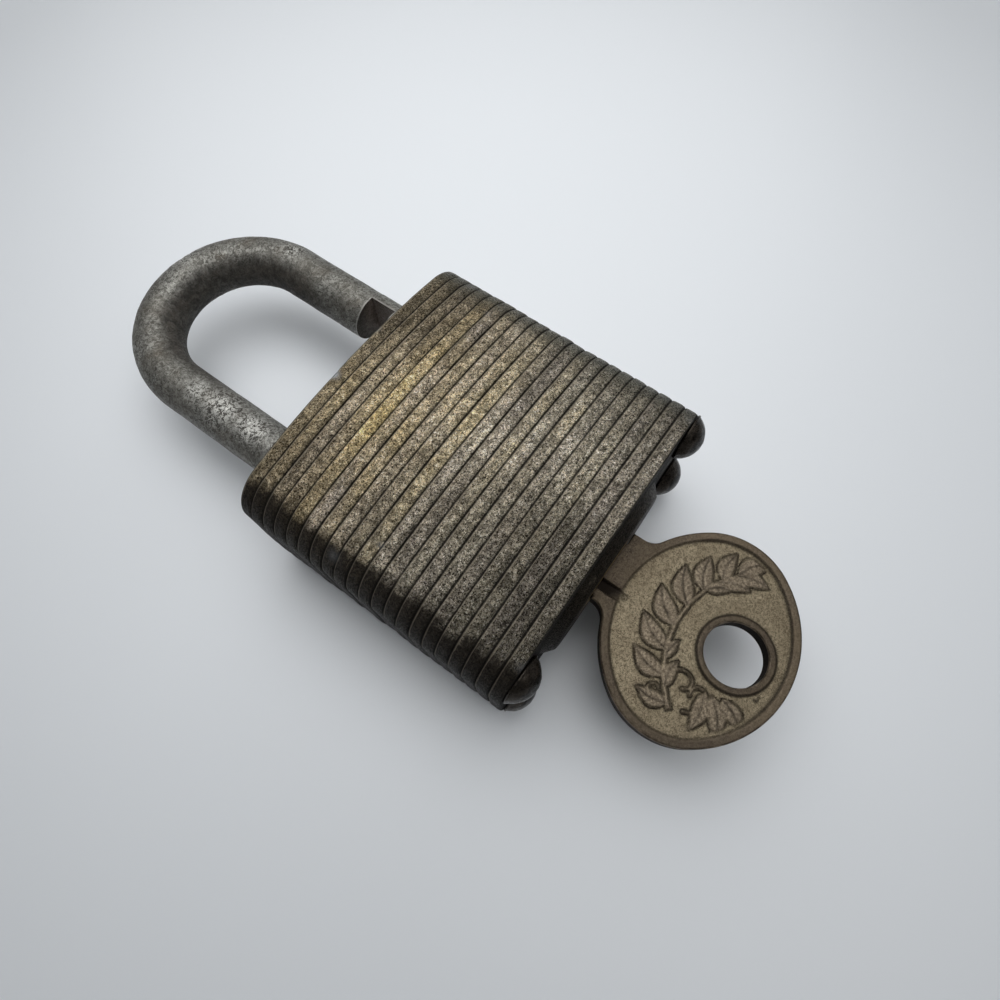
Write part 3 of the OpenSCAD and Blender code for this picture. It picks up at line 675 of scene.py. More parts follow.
bottom = dome_profile(HEAD_R, -BODY_END - rivet_low.y, 16, -BODY_END, -1)
top = dome_profile(END_R, rivet_high.y - BODY_END, 8, BODY_END, 1)
profile = bottom[::-1] + [(SHANK_R, y) for y in (-BODY_END, 0.0, BODY_END)] + top
points, faces, worn_edge = [], [], []
for sx, sz in ((-1, -1), (-1, 1), (1, -1), (1, 1)):
    middle_x = sx * (rivet_high.x - HEAD_R)
    middle_z = mid_z + sz * (rivet_high.z - HEAD_R - mid_z)
    rings = []
    for radius, y in profile[1:-1]:
        rings.append(list(range(len(points), len(points) + RIVET_SIDES)))
        for k in range(RIVET_SIDES):
            a = 2 * math.pi * k / RIVET_SIDES
            x, z = radius * math.cos(a), radius * math.sin(a)
            dent = 0.07 * MM * (wobble(x + sx, y, z + sz, 1.6 * MM) - 0.55)
            dent += 0.03 * MM * (wobble(x + sx, y, z + sz, 0.6 * MM) - 0.5)
            shrink = 1 + dent / max(radius, 1 * MM)
            lift = -dent * 0.8 if y < -BODY_END - 0.01 * MM else 0.0
            points.append((middle_x + x * shrink, y + lift, middle_z + z * shrink))
            worn_edge.append(0.75 if radius > 0.6 * HEAD_R else 0.35)
    for first, second in zip(rings, rings[1:]):
        join_rings(faces, second, first)
    for end, sink in ((0, 0.05 * MM), (-1, -0.02 * MM)):
        close_end(faces, rings[end], len(points), end == -1)
        points.append((middle_x, profile[end][1] + sink, middle_z))
        worn_edge.append(0.35)
make_piece("hammered_rivets", points, faces, rivet_steel, "case", ["rivets"], sharp=50,
           values={"edge": worn_edge})

# ---------------------------------------------------------------- Shackle
# A hardened steel bar, bent to a bow and zinc plated, which slides and turns on its long heel leg.
# The heel leg has a turned neck and foot inside the body, and the toe leg a milled notch for the bolt.
shackle_low, shackle_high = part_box("shackle")
BAR_R = 3.3 * MM
NECK_R = 2.2 * MM
NECK_TOP = 17.85 * MM
NECK_LOW = 4.15 * MM
BOW_BASE = shackle_high.y - shackle_high.x
LEG_X = shackle_high.x - BAR_R
TOE_END = 19.75 * MM
TOE_BEVEL = 0.6 * MM
NOTCH = (22.35 * MM, 26.25 * MM)
NOTCH_FLOOR = LEG_X + 0.7 * MM
# Marks that the notch's rings carry in place of their wear: on its floor, on its walls and beside it
CUT, WALL, LIP = 2, 3, 4
# Rings at each end of the notch: distance out from it in mm, and mark
NOTCH_RINGS = [(0.12, LIP), (0.0, LIP), (-0.005, WALL), (-0.02, CUT)]
BAR_SIDES = 112
RING_GAP = 0.21 * MM
# Bruises: place along the bar from the bow's top in mm, place round it in degrees, radius in mm, strength
BRUISES = [(-26.5, 90, 3.0, 1.0), (-31.5, 94, 2.5, 1.0), (-22.5, 86, 1.9, 0.8), (-36.0, 84, 1.6, 0.6),
           (2.5, 60, 1.8, 1.0), (17, 75, 1.7, 0.8), (-43.0, 92, 1.8, 0.6), (-12.0, 55, 1.5, 0.6),
           (5.0, 250, 2.4, 0.6), (-18.0, 300, 2.5, 0.5)]

zinc, tree, shader = new_material("weathered_zinc_plate")
speck = use_effect(tree, grain, Size=0.00045, Spread=0.13)
crust = use_effect(tree, grain, Size=0.0018, Spread=0.13)
cloud = mask(tree, patches, Size=0.005, Cover=0.46, Softness=0.18)
rust = mask(tree, patches, Size=0.0026, Cover=0.4, Softness=0.1, Shift=3.0)
pitted = mask(tree, pits, Size=0.0008, Amount=0.22)
scrape = mask(tree, scratches, Size=0.00022, Amount=0.4, Stretch=(0.6, 0.06, 1.0))
bruise, inner, edge = [read(tree, name) for name in ("bruise", "inner", "edge")]
body = tint(speck["Speck"], (0.08, 0.078, 0.068, 1), (0.325, 0.322, 0.294, 1))
body = tint(cloud * 0.6, body, (0.165, 0.15, 0.122, 1))
body = tint(rust * 0.5, body, (0.09, 0.068, 0.046, 1))
body = tint(spread(crust["Speck"], 0, 1, 0.4, 0.0), body, (0.06, 0.054, 0.044, 1))
inner = spread(inner + (cloud - 0.5) * 0.4, 0.1, 0.95)
body = tint(inner * 0.85, body, tint(crust["Speck"], (0.012, 0.01, 0.007, 1), (0.05, 0.042, 0.034, 1)))
chips = use_effect(tree, grain, Size=0.00042, Spread=0.040)["Speck"]
body = tint(calc("MULTIPLY", bruise, 0.85 - chips, clamp=True), body, (0.032, 0.027, 0.022, 1))
body = tint(bruise * (chips * 0.72), body, (0.68, 0.68, 0.64, 1))
body = tint(calc("MULTIPLY", pitted, bruise + 0.35, clamp=True), body, (0.03, 0.026, 0.022, 1))
body = tint(scrape * 0.3, body, (0.5, 0.5, 0.48, 1))
worn = mask(tree, rubbed, Edge=edge, Size=0.001, Wear=0.6)
body = tint(worn * 0.5, body, (0.45, 0.44, 0.41, 1))
# Dirt and painted shade in the crevices
soil_and_shade = mask(tree, dirt_and_shade, Reach=0.0012)
body = tint(soil_and_shade * 0.8, body, (0.02, 0.017, 0.014, 1))
milled = read(tree, "milled")
# The milled notch: dirty milled metal, with its floor painted paler as painted light where the lamps don't
# reach, and its walls darker as painted shade
floor_dirt_and_light = tint(speck["Speck"], (0.13, 0.105, 0.086, 1), (0.24, 0.2, 0.168, 1))
wall_dirt_and_shade = tint(speck["Speck"], (0.04, 0.033, 0.025, 1), (0.078, 0.066, 0.052, 1))
body = tint(spread(milled, 0.2, 0.4), body, tint(spread(milled, 0.6, 0.9), wall_dirt_and_shade, floor_dirt_and_light))
rough = spread(speck["Speck"], 0, 1, 0.66, 0.48) + inner * 0.12
metal = 0.62 - calc("MAXIMUM", inner * 0.4, milled * 0.6)
height = speck["Relief"] * 0.45 + crust["Relief"] * 0.5
height = height - pitted * 0.5
finish(shader, body, rough, height, 0.7, 0.00008, Metallic=metal)


def along_leg(x, levels):
    """Stations of a straight leg: middle, direction across to the bow's outside, radius, edge wear."""
    return [(Vector((x, y, mid_z)), Vector((math.copysign(1, x), 0, 0)), r, wear) for y, r, wear in levels]


def by_edge(y, way, rows):
    """Levels near an edge at y. A row holds the distance from it and the drop below the bar, then wear."""
    return [(y + way * away * MM, BAR_R - drop * MM, wear) for away, drop, wear in rows]


heel = by_edge(shackle_low.y, 1, [(0, 0.35, 1), (0.12, 0.12, 1), (0.35, 0, 0.7)])
heel += by_edge(NECK_LOW, -1, [(0.25, 0, 0.7), (0.05, 0.1, 1), (0, 0.25, 1)])
heel += [(NECK_LOW, NECK_R + 0.1 * MM, 0), (NECK_LOW + 0.1 * MM, NECK_R, 0)]
heel += [(y, NECK_R, 0) for y in np.linspace(NECK_LOW + 1 * MM, NECK_TOP - 1 * MM, 20)]
heel += [(NECK_TOP - 0.1 * MM, NECK_R, 0), (NECK_TOP, NECK_R + 0.1 * MM, 0)]
heel += by_edge(NECK_TOP, 1, [(0, 0.25, 1), (0.05, 0.1, 1), (0.25, 0, 0.7)])
heel += [(y, BAR_R, 0) for y in np.arange(NECK_TOP + 0.45 * MM, BOW_BASE, RING_GAP)]
toe = [(y, BAR_R, 0) for y in np.arange(BOW_BASE - RING_GAP, NOTCH[1] + 0.3 * MM, -RING_GAP)]
toe += [(NOTCH[1] + away * MM, BAR_R, mark) for away, mark in NOTCH_RINGS]
toe += [(y, BAR_R, CUT) for y in np.linspace(NOTCH[1] - 0.2 * MM, NOTCH[0] + 0.2 * MM, 18)]
toe += [(NOTCH[0] - away * MM, BAR_R, mark) for away, mark in NOTCH_RINGS[::-1]]
toe += [(y, BAR_R, 0) for y in np.linspace(NOTCH[0] - 0.3 * MM, TOE_END + TOE_BEVEL + 0.1 * MM, 8)]
toe += by_edge(TOE_END, 1, [(0.6, 0.03, 0.9), (0.1, 0.48, 0.9), (0, 0.68, 0.7)])
stations = along_leg(-LEG_X, heel)
bow_steps = int(math.pi * LEG_X / RING_GAP)
for k in range(bow_steps + 1):
    a = math.pi * (1 - k / bow_steps)
    out = Vector((math.cos(a), math.sin(a), 0))
    stations.append((Vector((0, BOW_BASE, mid_z)) + out * LEG_X, out, BAR_R, 0))
stations += along_leg(LEG_X, toe)

runs = np.r_[0, np.cumsum([(b[0] - a[0]).length for a, b in zip(stations, stations[1:])])]
top_run = runs[int(np.argmax([s[0].y for s in stations]))]
points, faces = [], []
values = {k: [] for k in ("bruise", "inner", "edge", "milled")}
rings = []
for (middle, out, radius, wear), run in zip(stations, runs):
    rings.append(list(range(len(points), len(points) + BAR_SIDES)))
    reach = (run - top_run) / MM
    on_bow = 1.0 if middle.y > BOW_BASE - 1 * MM else max(0.0, 1 - (BOW_BASE - middle.y) / (16 * MM))
    for k in range(BAR_SIDES):
        a = 2 * math.pi * k / BAR_SIDES
        push = out * math.cos(a) + Vector((0, 0, math.sin(a)))
        point = middle + push * radius
        marks = 0.0
        for place, turn, size, strength in BRUISES:
            spin = (math.degrees(a) - turn + 180) % 360 - 180
            away = math.hypot(reach - place, math.radians(spin) * BAR_R / MM) / size
            marks = max(marks, strength * math.exp(-away * away))
        x, y, z = point
        dent = 0.045 * (wobble(x, y, z, 3.2 * MM) - 0.45) + 0.02 * (wobble(x, y, z, 0.9 * MM) - 0.4)
        dent -= 0.16 * marks * max(0.0, wobble(x, y, z, 0.7 * MM) + 0.15)
        if wear == CUT:
            point.x = max(point.x, NOTCH_FLOOR)
        elif radius >= BAR_R * 0.98:
            point += push * min(dent, 0.0) * MM
        milled = {CUT: 1.0, WALL: 0.5}.get(wear, 0.0) * (point.x < NOTCH_FLOOR + 0.02 * MM)
        beside = point.x < NOTCH_FLOOR + 0.3 * MM and milled == 0
        values["bruise"].append(marks)
        values["inner"].append(min(1.0, max(0.0, -math.cos(a) * on_bow * 1.5 - 0.15)))
        values["edge"].append(wear if wear <= 1 else float(beside))
        values["milled"].append(milled)
        points.append(point)
for first, second in zip(rings, rings[1:]):
    join_rings(faces, first, second)
for ring, flip, middle in ((rings[0], True, stations[0][0]), (rings[-1], False, stations[-1][0])):
    close_end(faces, ring, len(points), flip)
    points.append(middle)
    for key, value in (("bruise", 0), ("inner", 0.4), ("edge", 0.2), ("milled", 0)):
        values[key].append(value)
make_piece("bent_shackle", points, faces, zinc, "shackle", ["shackle"], sharp=40,
           values=values)

# ---------------------------------------------------------------- Heel keeper, spring cap and shackle spring
# A hardened washer, open on one side, holds the heel leg by its neck, so the shackle can't leave the body.
# A coil of round spring wire pushes the leg up through a small turned cap.
spring_steel, tree, shader = new_material("oiled_spring_steel")
# The corners of a turned or cut piece, where it would be rubbed first
corners, start, end = open_effect("sharp_corners", {"Reach": 0.00015})
rounded = add(corners, "Bevel", {"Radius": start["Reach"]}, samples=4)[0]
flat = add(corners, "NewGeometry")["Normal"]
same = add(corners, "VectorMath", {0: rounded, 1: flat}, operation="DOT_PRODUCT")["Value"]
feed(end, Mask=spread(1.0 - same, 0.01, 0.16))

speck = use_effect(tree, grain, Size=0.0002, Spread=0.2)
cloud = mask(tree, patches, Size=0.0016, Cover=0.45, Softness=0.15)
drawn = mask(tree, scratches, Size=0.00012, Amount=0.45, Stretch=(1.0, 0.08, 1.0))
worn = mask(tree, rubbed, Edge=mask(tree, corners), Size=0.0006, Wear=0.6)
body = tint(speck["Speck"], (0.16, 0.16, 0.165, 1), (0.3, 0.3, 0.31, 1))
body = tint(cloud * 0.5, body, (0.12, 0.095, 0.07, 1))
body = tint(drawn * 0.3, body, (0.44, 0.44, 0.45, 1))
body = tint(worn * 0.6, body, (0.55, 0.55, 0.56, 1))
# Dirt and painted shade in the crevices
soil_and_shade = mask(tree, dirt_and_shade, Reach=0.0006)
body = tint(soil_and_shade * 0.8, body, (0.03, 0.026, 0.02, 1))
height = speck["Relief"] - drawn * 0.3
finish(shader, body, spread(speck["Speck"], 0, 1, 0.46, 0.30), height, 0.5, 0.00003, Metallic=0.95)


def dress(material, *nodes):
    """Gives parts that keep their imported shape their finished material."""
    for node in nodes:
        for slot in frame["nodes"][node].material_slots:
            slot.material = material


dress(spring_steel, "heel_keeper", "spring_cap")

SHACKLE_WIRE = 0.6 * MM
SHACKLE_TURNS = 7
CLOSED_TURNS = 0.9
WIRE_SIDES = 10
STEPS_PER_TURN = 40


def wind_spring(name, node, axis, wire, turns, body):
    """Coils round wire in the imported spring's place, with nearly one closed turn at each end."""
    low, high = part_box(node)
    first, second = [k for k in range(3) if k != axis]
    mean_r = (high[first] - low[first] - wire) / 2
    length = high[axis] - low[axis] - wire
    closed = wire * CLOSED_TURNS * 1.02
    points, faces, rings = [], [], []
    for turn in np.linspace(0, turns, turns * STEPS_PER_TURN + 1):
        rise = np.interp(turn, (0, CLOSED_TURNS, turns - CLOSED_TURNS, turns),
                         (0, closed, length - closed, length))
        for k in range(WIRE_SIDES):
            a = 2 * math.pi * k / WIRE_SIDES
            reach = mean_r + wire / 2 * math.cos(a)
            point = (low + high) / 2
            point[axis] = low[axis] + wire / 2 + rise + wire / 2 * math.sin(a)
            point[first] += reach * math.cos(2 * math.pi * turn)
            point[second] += reach * math.sin(2 * math.pi * turn)
            points.append(point)
        rings.append(list(range(len(points) - WIRE_SIDES, len(points))))
    # Along Y the other two axes turn the other way, so the faces are wound the other way too
    way = 1 if axis == 1 else -1
    for pair in zip(rings, rings[1:]):
        join_rings(faces, *pair[::way])
    faces += [tuple(rings[0][::-way]), tuple(rings[-1][::way])]
    return make_piece(name, points, faces, spring_steel, body, [node])


low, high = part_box("shackle_spring")
lift = next(j for j in frame["record"]["behaviour"]["joints"] if j["name"] == "shackle_lift")
travel = -lift["range_m"][0]
shackle_spring = wind_spring("wound_shackle_spring", "shackle_spring", 1, SHACKLE_WIRE, SHACKLE_TURNS,
                             "case")
1 - travel / (high.y - low.y)
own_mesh(shackle_spring)

# ---------------------------------------------------------------- Locking bolt and its spring
# A cast brass bolt slides in a pocket in two plates, and its nose enters the toe leg's notch.
# A light coil spring behind it keeps its slot against the crank pin.
cast_brass, tree, shader = new_material("dull_cut_brass")
speck = use_effect(tree, grain, Size=0.00022, Spread=0.2)
cloud = mask(tree, patches, Size=0.0022, Cover=0.5, Softness=0.18)
stain = mask(tree, patches, Size=0.0011, Cover=0.34, Softness=0.1, Shift=2.0)
turned_lines = mask(tree, scratches, Size=0.00014, Amount=0.5, Stretch=(0.3, 1.0, 0.3))
worn = mask(tree, rubbed, Edge=mask(tree, corners), Size=0.0007, Wear=0.62)
body = tint(speck["Speck"], (0.3, 0.215, 0.085, 1), (0.5, 0.38, 0.17, 1))
body = tint(cloud * 0.6, body, (0.19, 0.13, 0.06, 1))
body = tint(stain * 0.5, body, (0.085, 0.06, 0.035, 1))
body = tint(turned_lines * 0.25, body, (0.62, 0.49, 0.25, 1))
body = tint(worn * 0.6, body, (0.7, 0.56, 0.3, 1))
# Dirt and painted shade in the crevices
soil_and_shade = mask(tree, dirt_and_shade, Reach=0.0008)
body = tint(soil_and_shade * 0.9, body, (0.03, 0.022, 0.012, 1))
height = speck["Relief"] - turned_lines * 0.4
finish(shader, body, spread(speck["Speck"], 0, 1, 0.48, 0.32), height, 0.55, 0.00004, Metallic=0.92)
dress(cast_brass, "locking_bolt")

BOLT_WIRE = 0.4 * MM
BOLT_TURNS = 4
low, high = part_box("bolt_spring")
bolt_spring = wind_spring("wound_bolt_spring", "bolt_spring", 0, BOLT_WIRE, BOLT_TURNS, None)
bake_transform(bolt_spring)

# ---------------------------------------------------------------- Cylinder
# The brass shell stands in pear-shaped holes through eleven plates and carries the plug and the pins.
# The plug turns in it behind the boss of the bottom plate, held by an open clip.
# Its tailpiece drives the bolt.
dress(cast_brass, "cylinder_shell", "plug", "key_pins", "spring_cover")
dress(spring_steel, "plug_clip", "tailpiece", "driver_pins", "pin_springs")

# ---------------------------------------------------------------- Key
# A flat key pressed from bronze, with an oval bow, a sunk field inside a worn rim and a collared ring hole.
# Both faces of the bow carry a pressed leaf sprig.
# The blade has four cuts and a milled groove on each side.
key_low, key_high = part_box("key")
ring_mount = next(m for m in frame["record"]["mounts"] if m["name"] == "key_ring_hole")
RING_X, RING_Y = ring_mount["pos_m"][:2]
RING_R = ring_mount["dims"]["r_mm"] * MM
KEY_T = key_high.z - key_low.z
BOW_HALF = ((key_high.x - key_low.x) / 2, 10.65 * MM)
BOW_END_R = 8.5 * MM
BOW_X = (key_high.x + key_low.x) / 2
BOW_Y = key_low.y + BOW_HALF[1]
# The bow is an oval of four arcs: how far out its end arcs stand, then the radius and offset of its side arcs
BOW_END_X = BOW_HALF[0] - BOW_END_R
BOW_SIDE_R = (BOW_END_X ** 2 + BOW_HALF[1] ** 2 - BOW_END_R ** 2) / (2 * (BOW_HALF[1] - BOW_END_R))
BOW_DROP = BOW_SIDE_R - BOW_HALF[1]
RIM_W = 0.95 * MM
COLLAR_W = 0.75 * MM
FIELD_DEPTH = 0.25 * MM
NECK_SIDES = (-4.4 * MM, 5.0 * MM)
NECK_FILLET = 2.2 * MM
SHOULDER_Y = -19.15 * MM
BLADE_SIDES = (-4.0 * MM, 3.4 * MM)
FIRST_CUT = (-3.2 * MM, -13.65 * MM)
CUT_PITCH = 3.3 * MM
CUT_STEP = 0.7 * MM
CUT_FLAT = 0.7 * MM
GROOVE_DEPTH = 0.7 * MM
GROOVE_ENDS = (-19.75 * MM, -22.95 * MM)
# Where the neck drops by a hair beside the groove
SHELF_Y = -22.2 * MM
SHELF_DROP = 0.05 * MM
# Each face's groove, from side to side
GROOVES = {1: (-3.0 * MM, -1.7 * MM), -1: (0.0, 1.3 * MM)}
KEY_EDGE_R = 0.28 * MM
KEY_CELL = 0.155 * MM
# The sprig's stem: middle, radius and half width of its arc in mm, and where it ends in degrees
STEM = (0.2, -9.6, 12.4, 0.30)
STEM_ENDS = (46, 137)
# Leaves on the stem: place on its arc and turn from it in degrees, length and half width in mm
LEAVES = [(134, 52, 3.6, 0.95), (126, -34, 3.2, 0.85), (121, 46, 4.4, 1.15), (108, 44, 4.8, 1.25),
          (112, -30, 2.6, 0.7), (95, 42, 4.9, 1.30), (82, 40, 4.8, 1.25), (70, 38, 4.3, 1.15),
          (68, -36, 2.8, 0.75), (60, -42, 3.6, 0.95), (58, 34, 3.8, 1.0), (50, -38, 3.8, 1.0),
          (49, 4, 4.4, 1.15)]
# Loose leaves: start in mm from the bow's middle, heading in degrees, length and half width in mm
LOW_LEAVES = [(-5.2, -3.4, 186, 4.3, 0.95), (-5.0, -4.2, 212, 4.6, 1.05), (-4.7, -5.2, 238, 3.9, 0.95)]
# Tendrils: start in mm, heading in degrees, length in mm, first and last bend in degrees per mm
TENDRILS = [(-5.6, 1.0, -35, 5.2, -8, -85), (-8.2, -2.4, -72, 6.6, 12, 78), (-2.6, -8.1, 8, 4.4, 14, 110),
            (-9.3, 0.9, 70, 3.2, -20, -110)]
TENDRIL_HALF = 0.17
TENDRIL_STEP = 0.12
WALL_DROP = 0.05 * MM
LEAF_RISE = 0.15 * MM
LINE_DEPTH = 0.09 * MM
VEIN_DEPTH = 0.06 * MM
RIPPLE = 0.02 * MM

key_bronze, tree, shader = new_material("tarnished_key_bronze")
feed(shader, Specular_IOR_Level=0.2)
speck = use_effect(tree, grain, Size=0.00024, Spread=0.14)
crust = use_effect(tree, grain, Size=0.0011, Spread=0.13)
cloud = mask(tree, patches, Size=0.0042, Cover=0.5, Softness=0.2)
stain = mask(tree, patches, Size=0.002, Cover=0.36, Softness=0.12, Shift=5.0)
scrape = mask(tree, scratches, Size=0.00018, Amount=0.35, Stretch=(0.1, 1.0, 1.0))
field, hollow, edge, leaf = [read(tree, name) for name in ("field", "hollow", "edge", "leaf")]
smooth_metal = tint(speck["Speck"], (0.054, 0.042, 0.031, 1), (0.114, 0.091, 0.066, 1))
sunk_metal = tint(speck["Speck"], (0.098, 0.08, 0.052, 1), (0.3, 0.252, 0.172, 1))
# Pale painted glints, standing in for highlights
sunk_metal = tint(speck["Glint"] * 0.5, sunk_metal, (0.38, 0.32, 0.22, 1))
body = tint(field, smooth_metal, sunk_metal)
body = tint(cloud * 0.5, body, (0.105, 0.082, 0.052, 1))
body = tint(leaf * 0.7, body, tint(speck["Speck"], (0.11, 0.087, 0.062, 1), (0.235, 0.193, 0.14, 1)))
body = tint(stain * 0.3, body, (0.06, 0.04, 0.03, 1))
# Darkened in the pressed lines, with painted shade in the groove, on the rim's lower left and on the walls
body = tint(hollow * 0.92, body, (0.009, 0.006, 0.004, 1))
worn = mask(tree, rubbed, Edge=edge, Size=0.0012, Wear=0.55)
body = tint(worn * 0.5, body, (0.34, 0.27, 0.2, 1))
body = tint(scrape * 0.2, body, (0.33, 0.27, 0.2, 1))
# Dirt and painted shade in the crevices
soil_and_shade = mask(tree, dirt_and_shade, Reach=0.0005, Size=0.0009)
body = tint(soil_and_shade * 0.8, body, (0.016, 0.011, 0.008, 1))
rough = spread(speck["Speck"], 0, 1, 0.5, 0.36) + field * 0.08
rough = rough + hollow * 0.4
metal = 0.85 - hollow * 0.6
height = speck["Relief"] * (field * 0.8 + 0.25)
height = height + crust["Relief"] * 0.35
finish(shader, body, rough, height, 0.7, 0.00006, Metallic=metal)


def arc(x, y, r, low, high):
    """Points of an arc, in degrees, about one key cell apart."""
    count = max(3, int(abs(math.radians(high - low)) * r / KEY_CELL))
    return [(x + r * math.cos(a), y + r * math.sin(a)) for a in np.radians(np.linspace(low, high, count))]


def key_outline():
    """The key's outline, once round from the left shoulder by way of the bow and the blade's tip."""
    tip = math.degrees(math.atan2(BOW_DROP, BOW_END_X))
    corners, bends = [], []
    for side, x in ((-1, NECK_SIDES[0]), (1, NECK_SIDES[1])):
        run = x + side * NECK_FILLET - BOW_X
        rise = math.sqrt((BOW_SIDE_R + NECK_FILLET) ** 2 - run ** 2)
        corners.append((BOW_X + run, BOW_Y - BOW_DROP + rise))
        bends.append(math.degrees(math.atan2(rise, run)))
    path = [(NECK_SIDES[0], SHOULDER_Y)]
    path += arc(*corners[0], NECK_FILLET, 0, bends[0] - 180)
    path += arc(BOW_X, BOW_Y - BOW_DROP, BOW_SIDE_R, bends[0], 180 - tip)[1:]
    path += arc(BOW_X - BOW_END_X, BOW_Y, BOW_END_R, 180 - tip, 180 + tip)[1:]
    path += arc(BOW_X, BOW_Y + BOW_DROP, BOW_SIDE_R, 180 + tip, 360 - tip)[1:]
    path += arc(BOW_X + BOW_END_X, BOW_Y, BOW_END_R, -tip, tip)[1:]
    path += arc(BOW_X, BOW_Y - BOW_DROP, BOW_SIDE_R, tip, bends[1])[1:]
    path += arc(*corners[1], NECK_FILLET, bends[1] + 180, 180)[1:]
    path += [(NECK_SIDES[1], SHOULDER_Y), (BLADE_SIDES[1], SHOULDER_Y)]
    tip_y = key_high.y
    path += [(BLADE_SIDES[1], tip_y - 0.8 * MM), (BLADE_SIDES[1] - 0.8 * MM, tip_y)]
    last_x = FIRST_CUT[0] + 4 * CUT_STEP
    path += [((BLADE_SIDES[1] + last_x) / 2 - 0.6 * MM, tip_y), (last_x, tip_y - 0.8 * MM)]
    for k in (3, 2, 1, 0):
        for side in (1, -1):
            path.append((FIRST_CUT[0] + k * CUT_STEP, FIRST_CUT[1] + k * CUT_PITCH + side * CUT_FLAT))
    path += [(BLADE_SIDES[0], FIRST_CUT[1] - 1.6 * MM), (BLADE_SIDES[0], SHOULDER_Y)]
    filled = []
    for (x1, y1), (x2, y2) in zip(path, path[1:] + path[:1]):
        count = max(1, round(math.hypot(x2 - x1, y2 - y1) / KEY_CELL))
        filled += [(x1 + (x2 - x1) * k / count, y1 + (y2 - y1) * k / count) for k in range(count)]
    return filled


def distance_to(points, loop):
    """For each point, how far the closed outline is."""
    nearest = np.full(len(points), 1.0)
    ends = np.roll(loop, -1, axis=0)
    for start in range(0, len(points), 2000):
        some = points[start:start + 2000, None, :]
        way = (ends - loop)[None]
        share = np.clip(((some - loop) * way).sum(2) / (way ** 2).sum(2), 0, 1)
        nearest[start:start + 2000] = np.linalg.norm(some - loop - share[..., None] * way, axis=2).min(1)
    return nearest


def bow_inset(x, y):
    """How far inside the plain oval of the bow each place lies."""
    ax, ay = np.abs(x - BOW_X), np.abs(y - BOW_Y)
    by_side = BOW_SIDE_R - np.hypot(ax, ay + BOW_DROP)
    by_end = BOW_END_R - np.hypot(ax - BOW_END_X, ay)
    return np.where((ay + BOW_DROP) * BOW_END_X > ax * BOW_DROP, by_side, by_end)


def tendril(u, v, heading, length, first_bend, last_bend):
    """Points along a curl that tightens towards its end, out and back."""
    path = []
    count = int(length / TENDRIL_STEP)
    for k in range(count):
        path.append((u, v))
        heading += (first_bend + (last_bend - first_bend) * k / count) * TENDRIL_STEP
        u += TENDRIL_STEP * math.cos(math.radians(heading))
        v += TENDRIL_STEP * math.sin(math.radians(heading))
    return np.array(path + path[-2:0:-1])


def sprig(x, y):
    """Height of the sprig above the field, and masks of its leaves and of the lines pressed round them."""
    u, v = (x - BOW_X) / MM, (y - BOW_Y) / MM
    cx, cy, r, thick = STEM
    bearing = np.degrees(np.arctan2(v - cy, u - cx))
    along = np.clip((bearing - STEM_ENDS[0]) / (STEM_ENDS[1] - STEM_ENDS[0]), 0, 1)
    stem_gap = np.abs(np.hypot(u - cx, v - cy) - r) - thick * (0.55 + 0.6 * along)
    off_end = np.maximum(STEM_ENDS[0] - bearing, bearing - STEM_ENDS[1]) * math.radians(1) * r
    stem_gap = np.maximum(stem_gap, off_end)
    gap = stem_gap
    rise = np.clip(-stem_gap / 0.3, 0, 1)
    vein = np.zeros_like(u)
    starts = []
    for place, turn, length, half in LEAVES:
        a = math.radians(place)
        starts.append((cx + r * math.cos(a), cy + r * math.sin(a), place - 90 + turn, length, half))
    for sx, sy, heading, length, half in starts + LOW_LEAVES:
        a = math.radians(heading)
        du, dv = u - sx, v - sy
        run, across = du * math.cos(a) + dv * math.sin(a), -du * math.sin(a) + dv * math.cos(a)
        share = np.clip(run / length, 0.001, 0.999)
        across = across - 0.35 * half * np.sin(math.pi * share)
        wide = half * np.sin(math.pi * share ** 0.8) ** 0.85 + 0.02
        leaf_gap = np.maximum(np.abs(across) - wide, np.maximum(-run, run - length))
        inside = np.clip(-leaf_gap / 0.2, 0, 1)
        rise = np.maximum(rise, inside * (0.8 + 0.2 * np.cos(np.clip(across / wide, -1, 1) * math.pi / 2)))
        rib = (1 - step(np.abs(across), 0.05, 0.16)) * inside
        barb = np.abs(((run - np.abs(across) * 0.9) / 0.62) % 1 - 0.5)
        vein = np.maximum(vein, np.maximum(rib, (1 - step(barb, 0.08, 0.26)) * inside * 0.45))
        gap = np.minimum(gap, leaf_gap)
    for row in TENDRILS:
        curl_gap = np.minimum(distance_to(np.stack([u, v], 1), tendril(*row)), 1.0) - TENDRIL_HALF
        rise = np.maximum(rise, 0.8 * np.clip(-curl_gap / 0.12, 0, 1))
        gap = np.minimum(gap, curl_gap)
    line = (1 - step(np.abs(gap - 0.07), 0.02, 0.15))
    return rise, line, vein


def in_outline(places):
    """Which places lie inside the key's outline."""
    inside = np.zeros(len(places), bool)
    for (x1, y1), (x2, y2) in zip(outline_xy, np.roll(outline_xy, -1, axis=0)):
        if y1 != y2:
            inside ^= ((places[:, 1] < y1) != (places[:, 1] < y2)) & (
                places[:, 0] < x1 + (places[:, 1] - y1) * (x2 - x1) / (y2 - y1))
    return inside


def off_ring(places):
    """How far outside the ring hole the places lie."""
    return np.hypot(places[:, 0] - RING_X, places[:, 1] - RING_Y) - RING_R


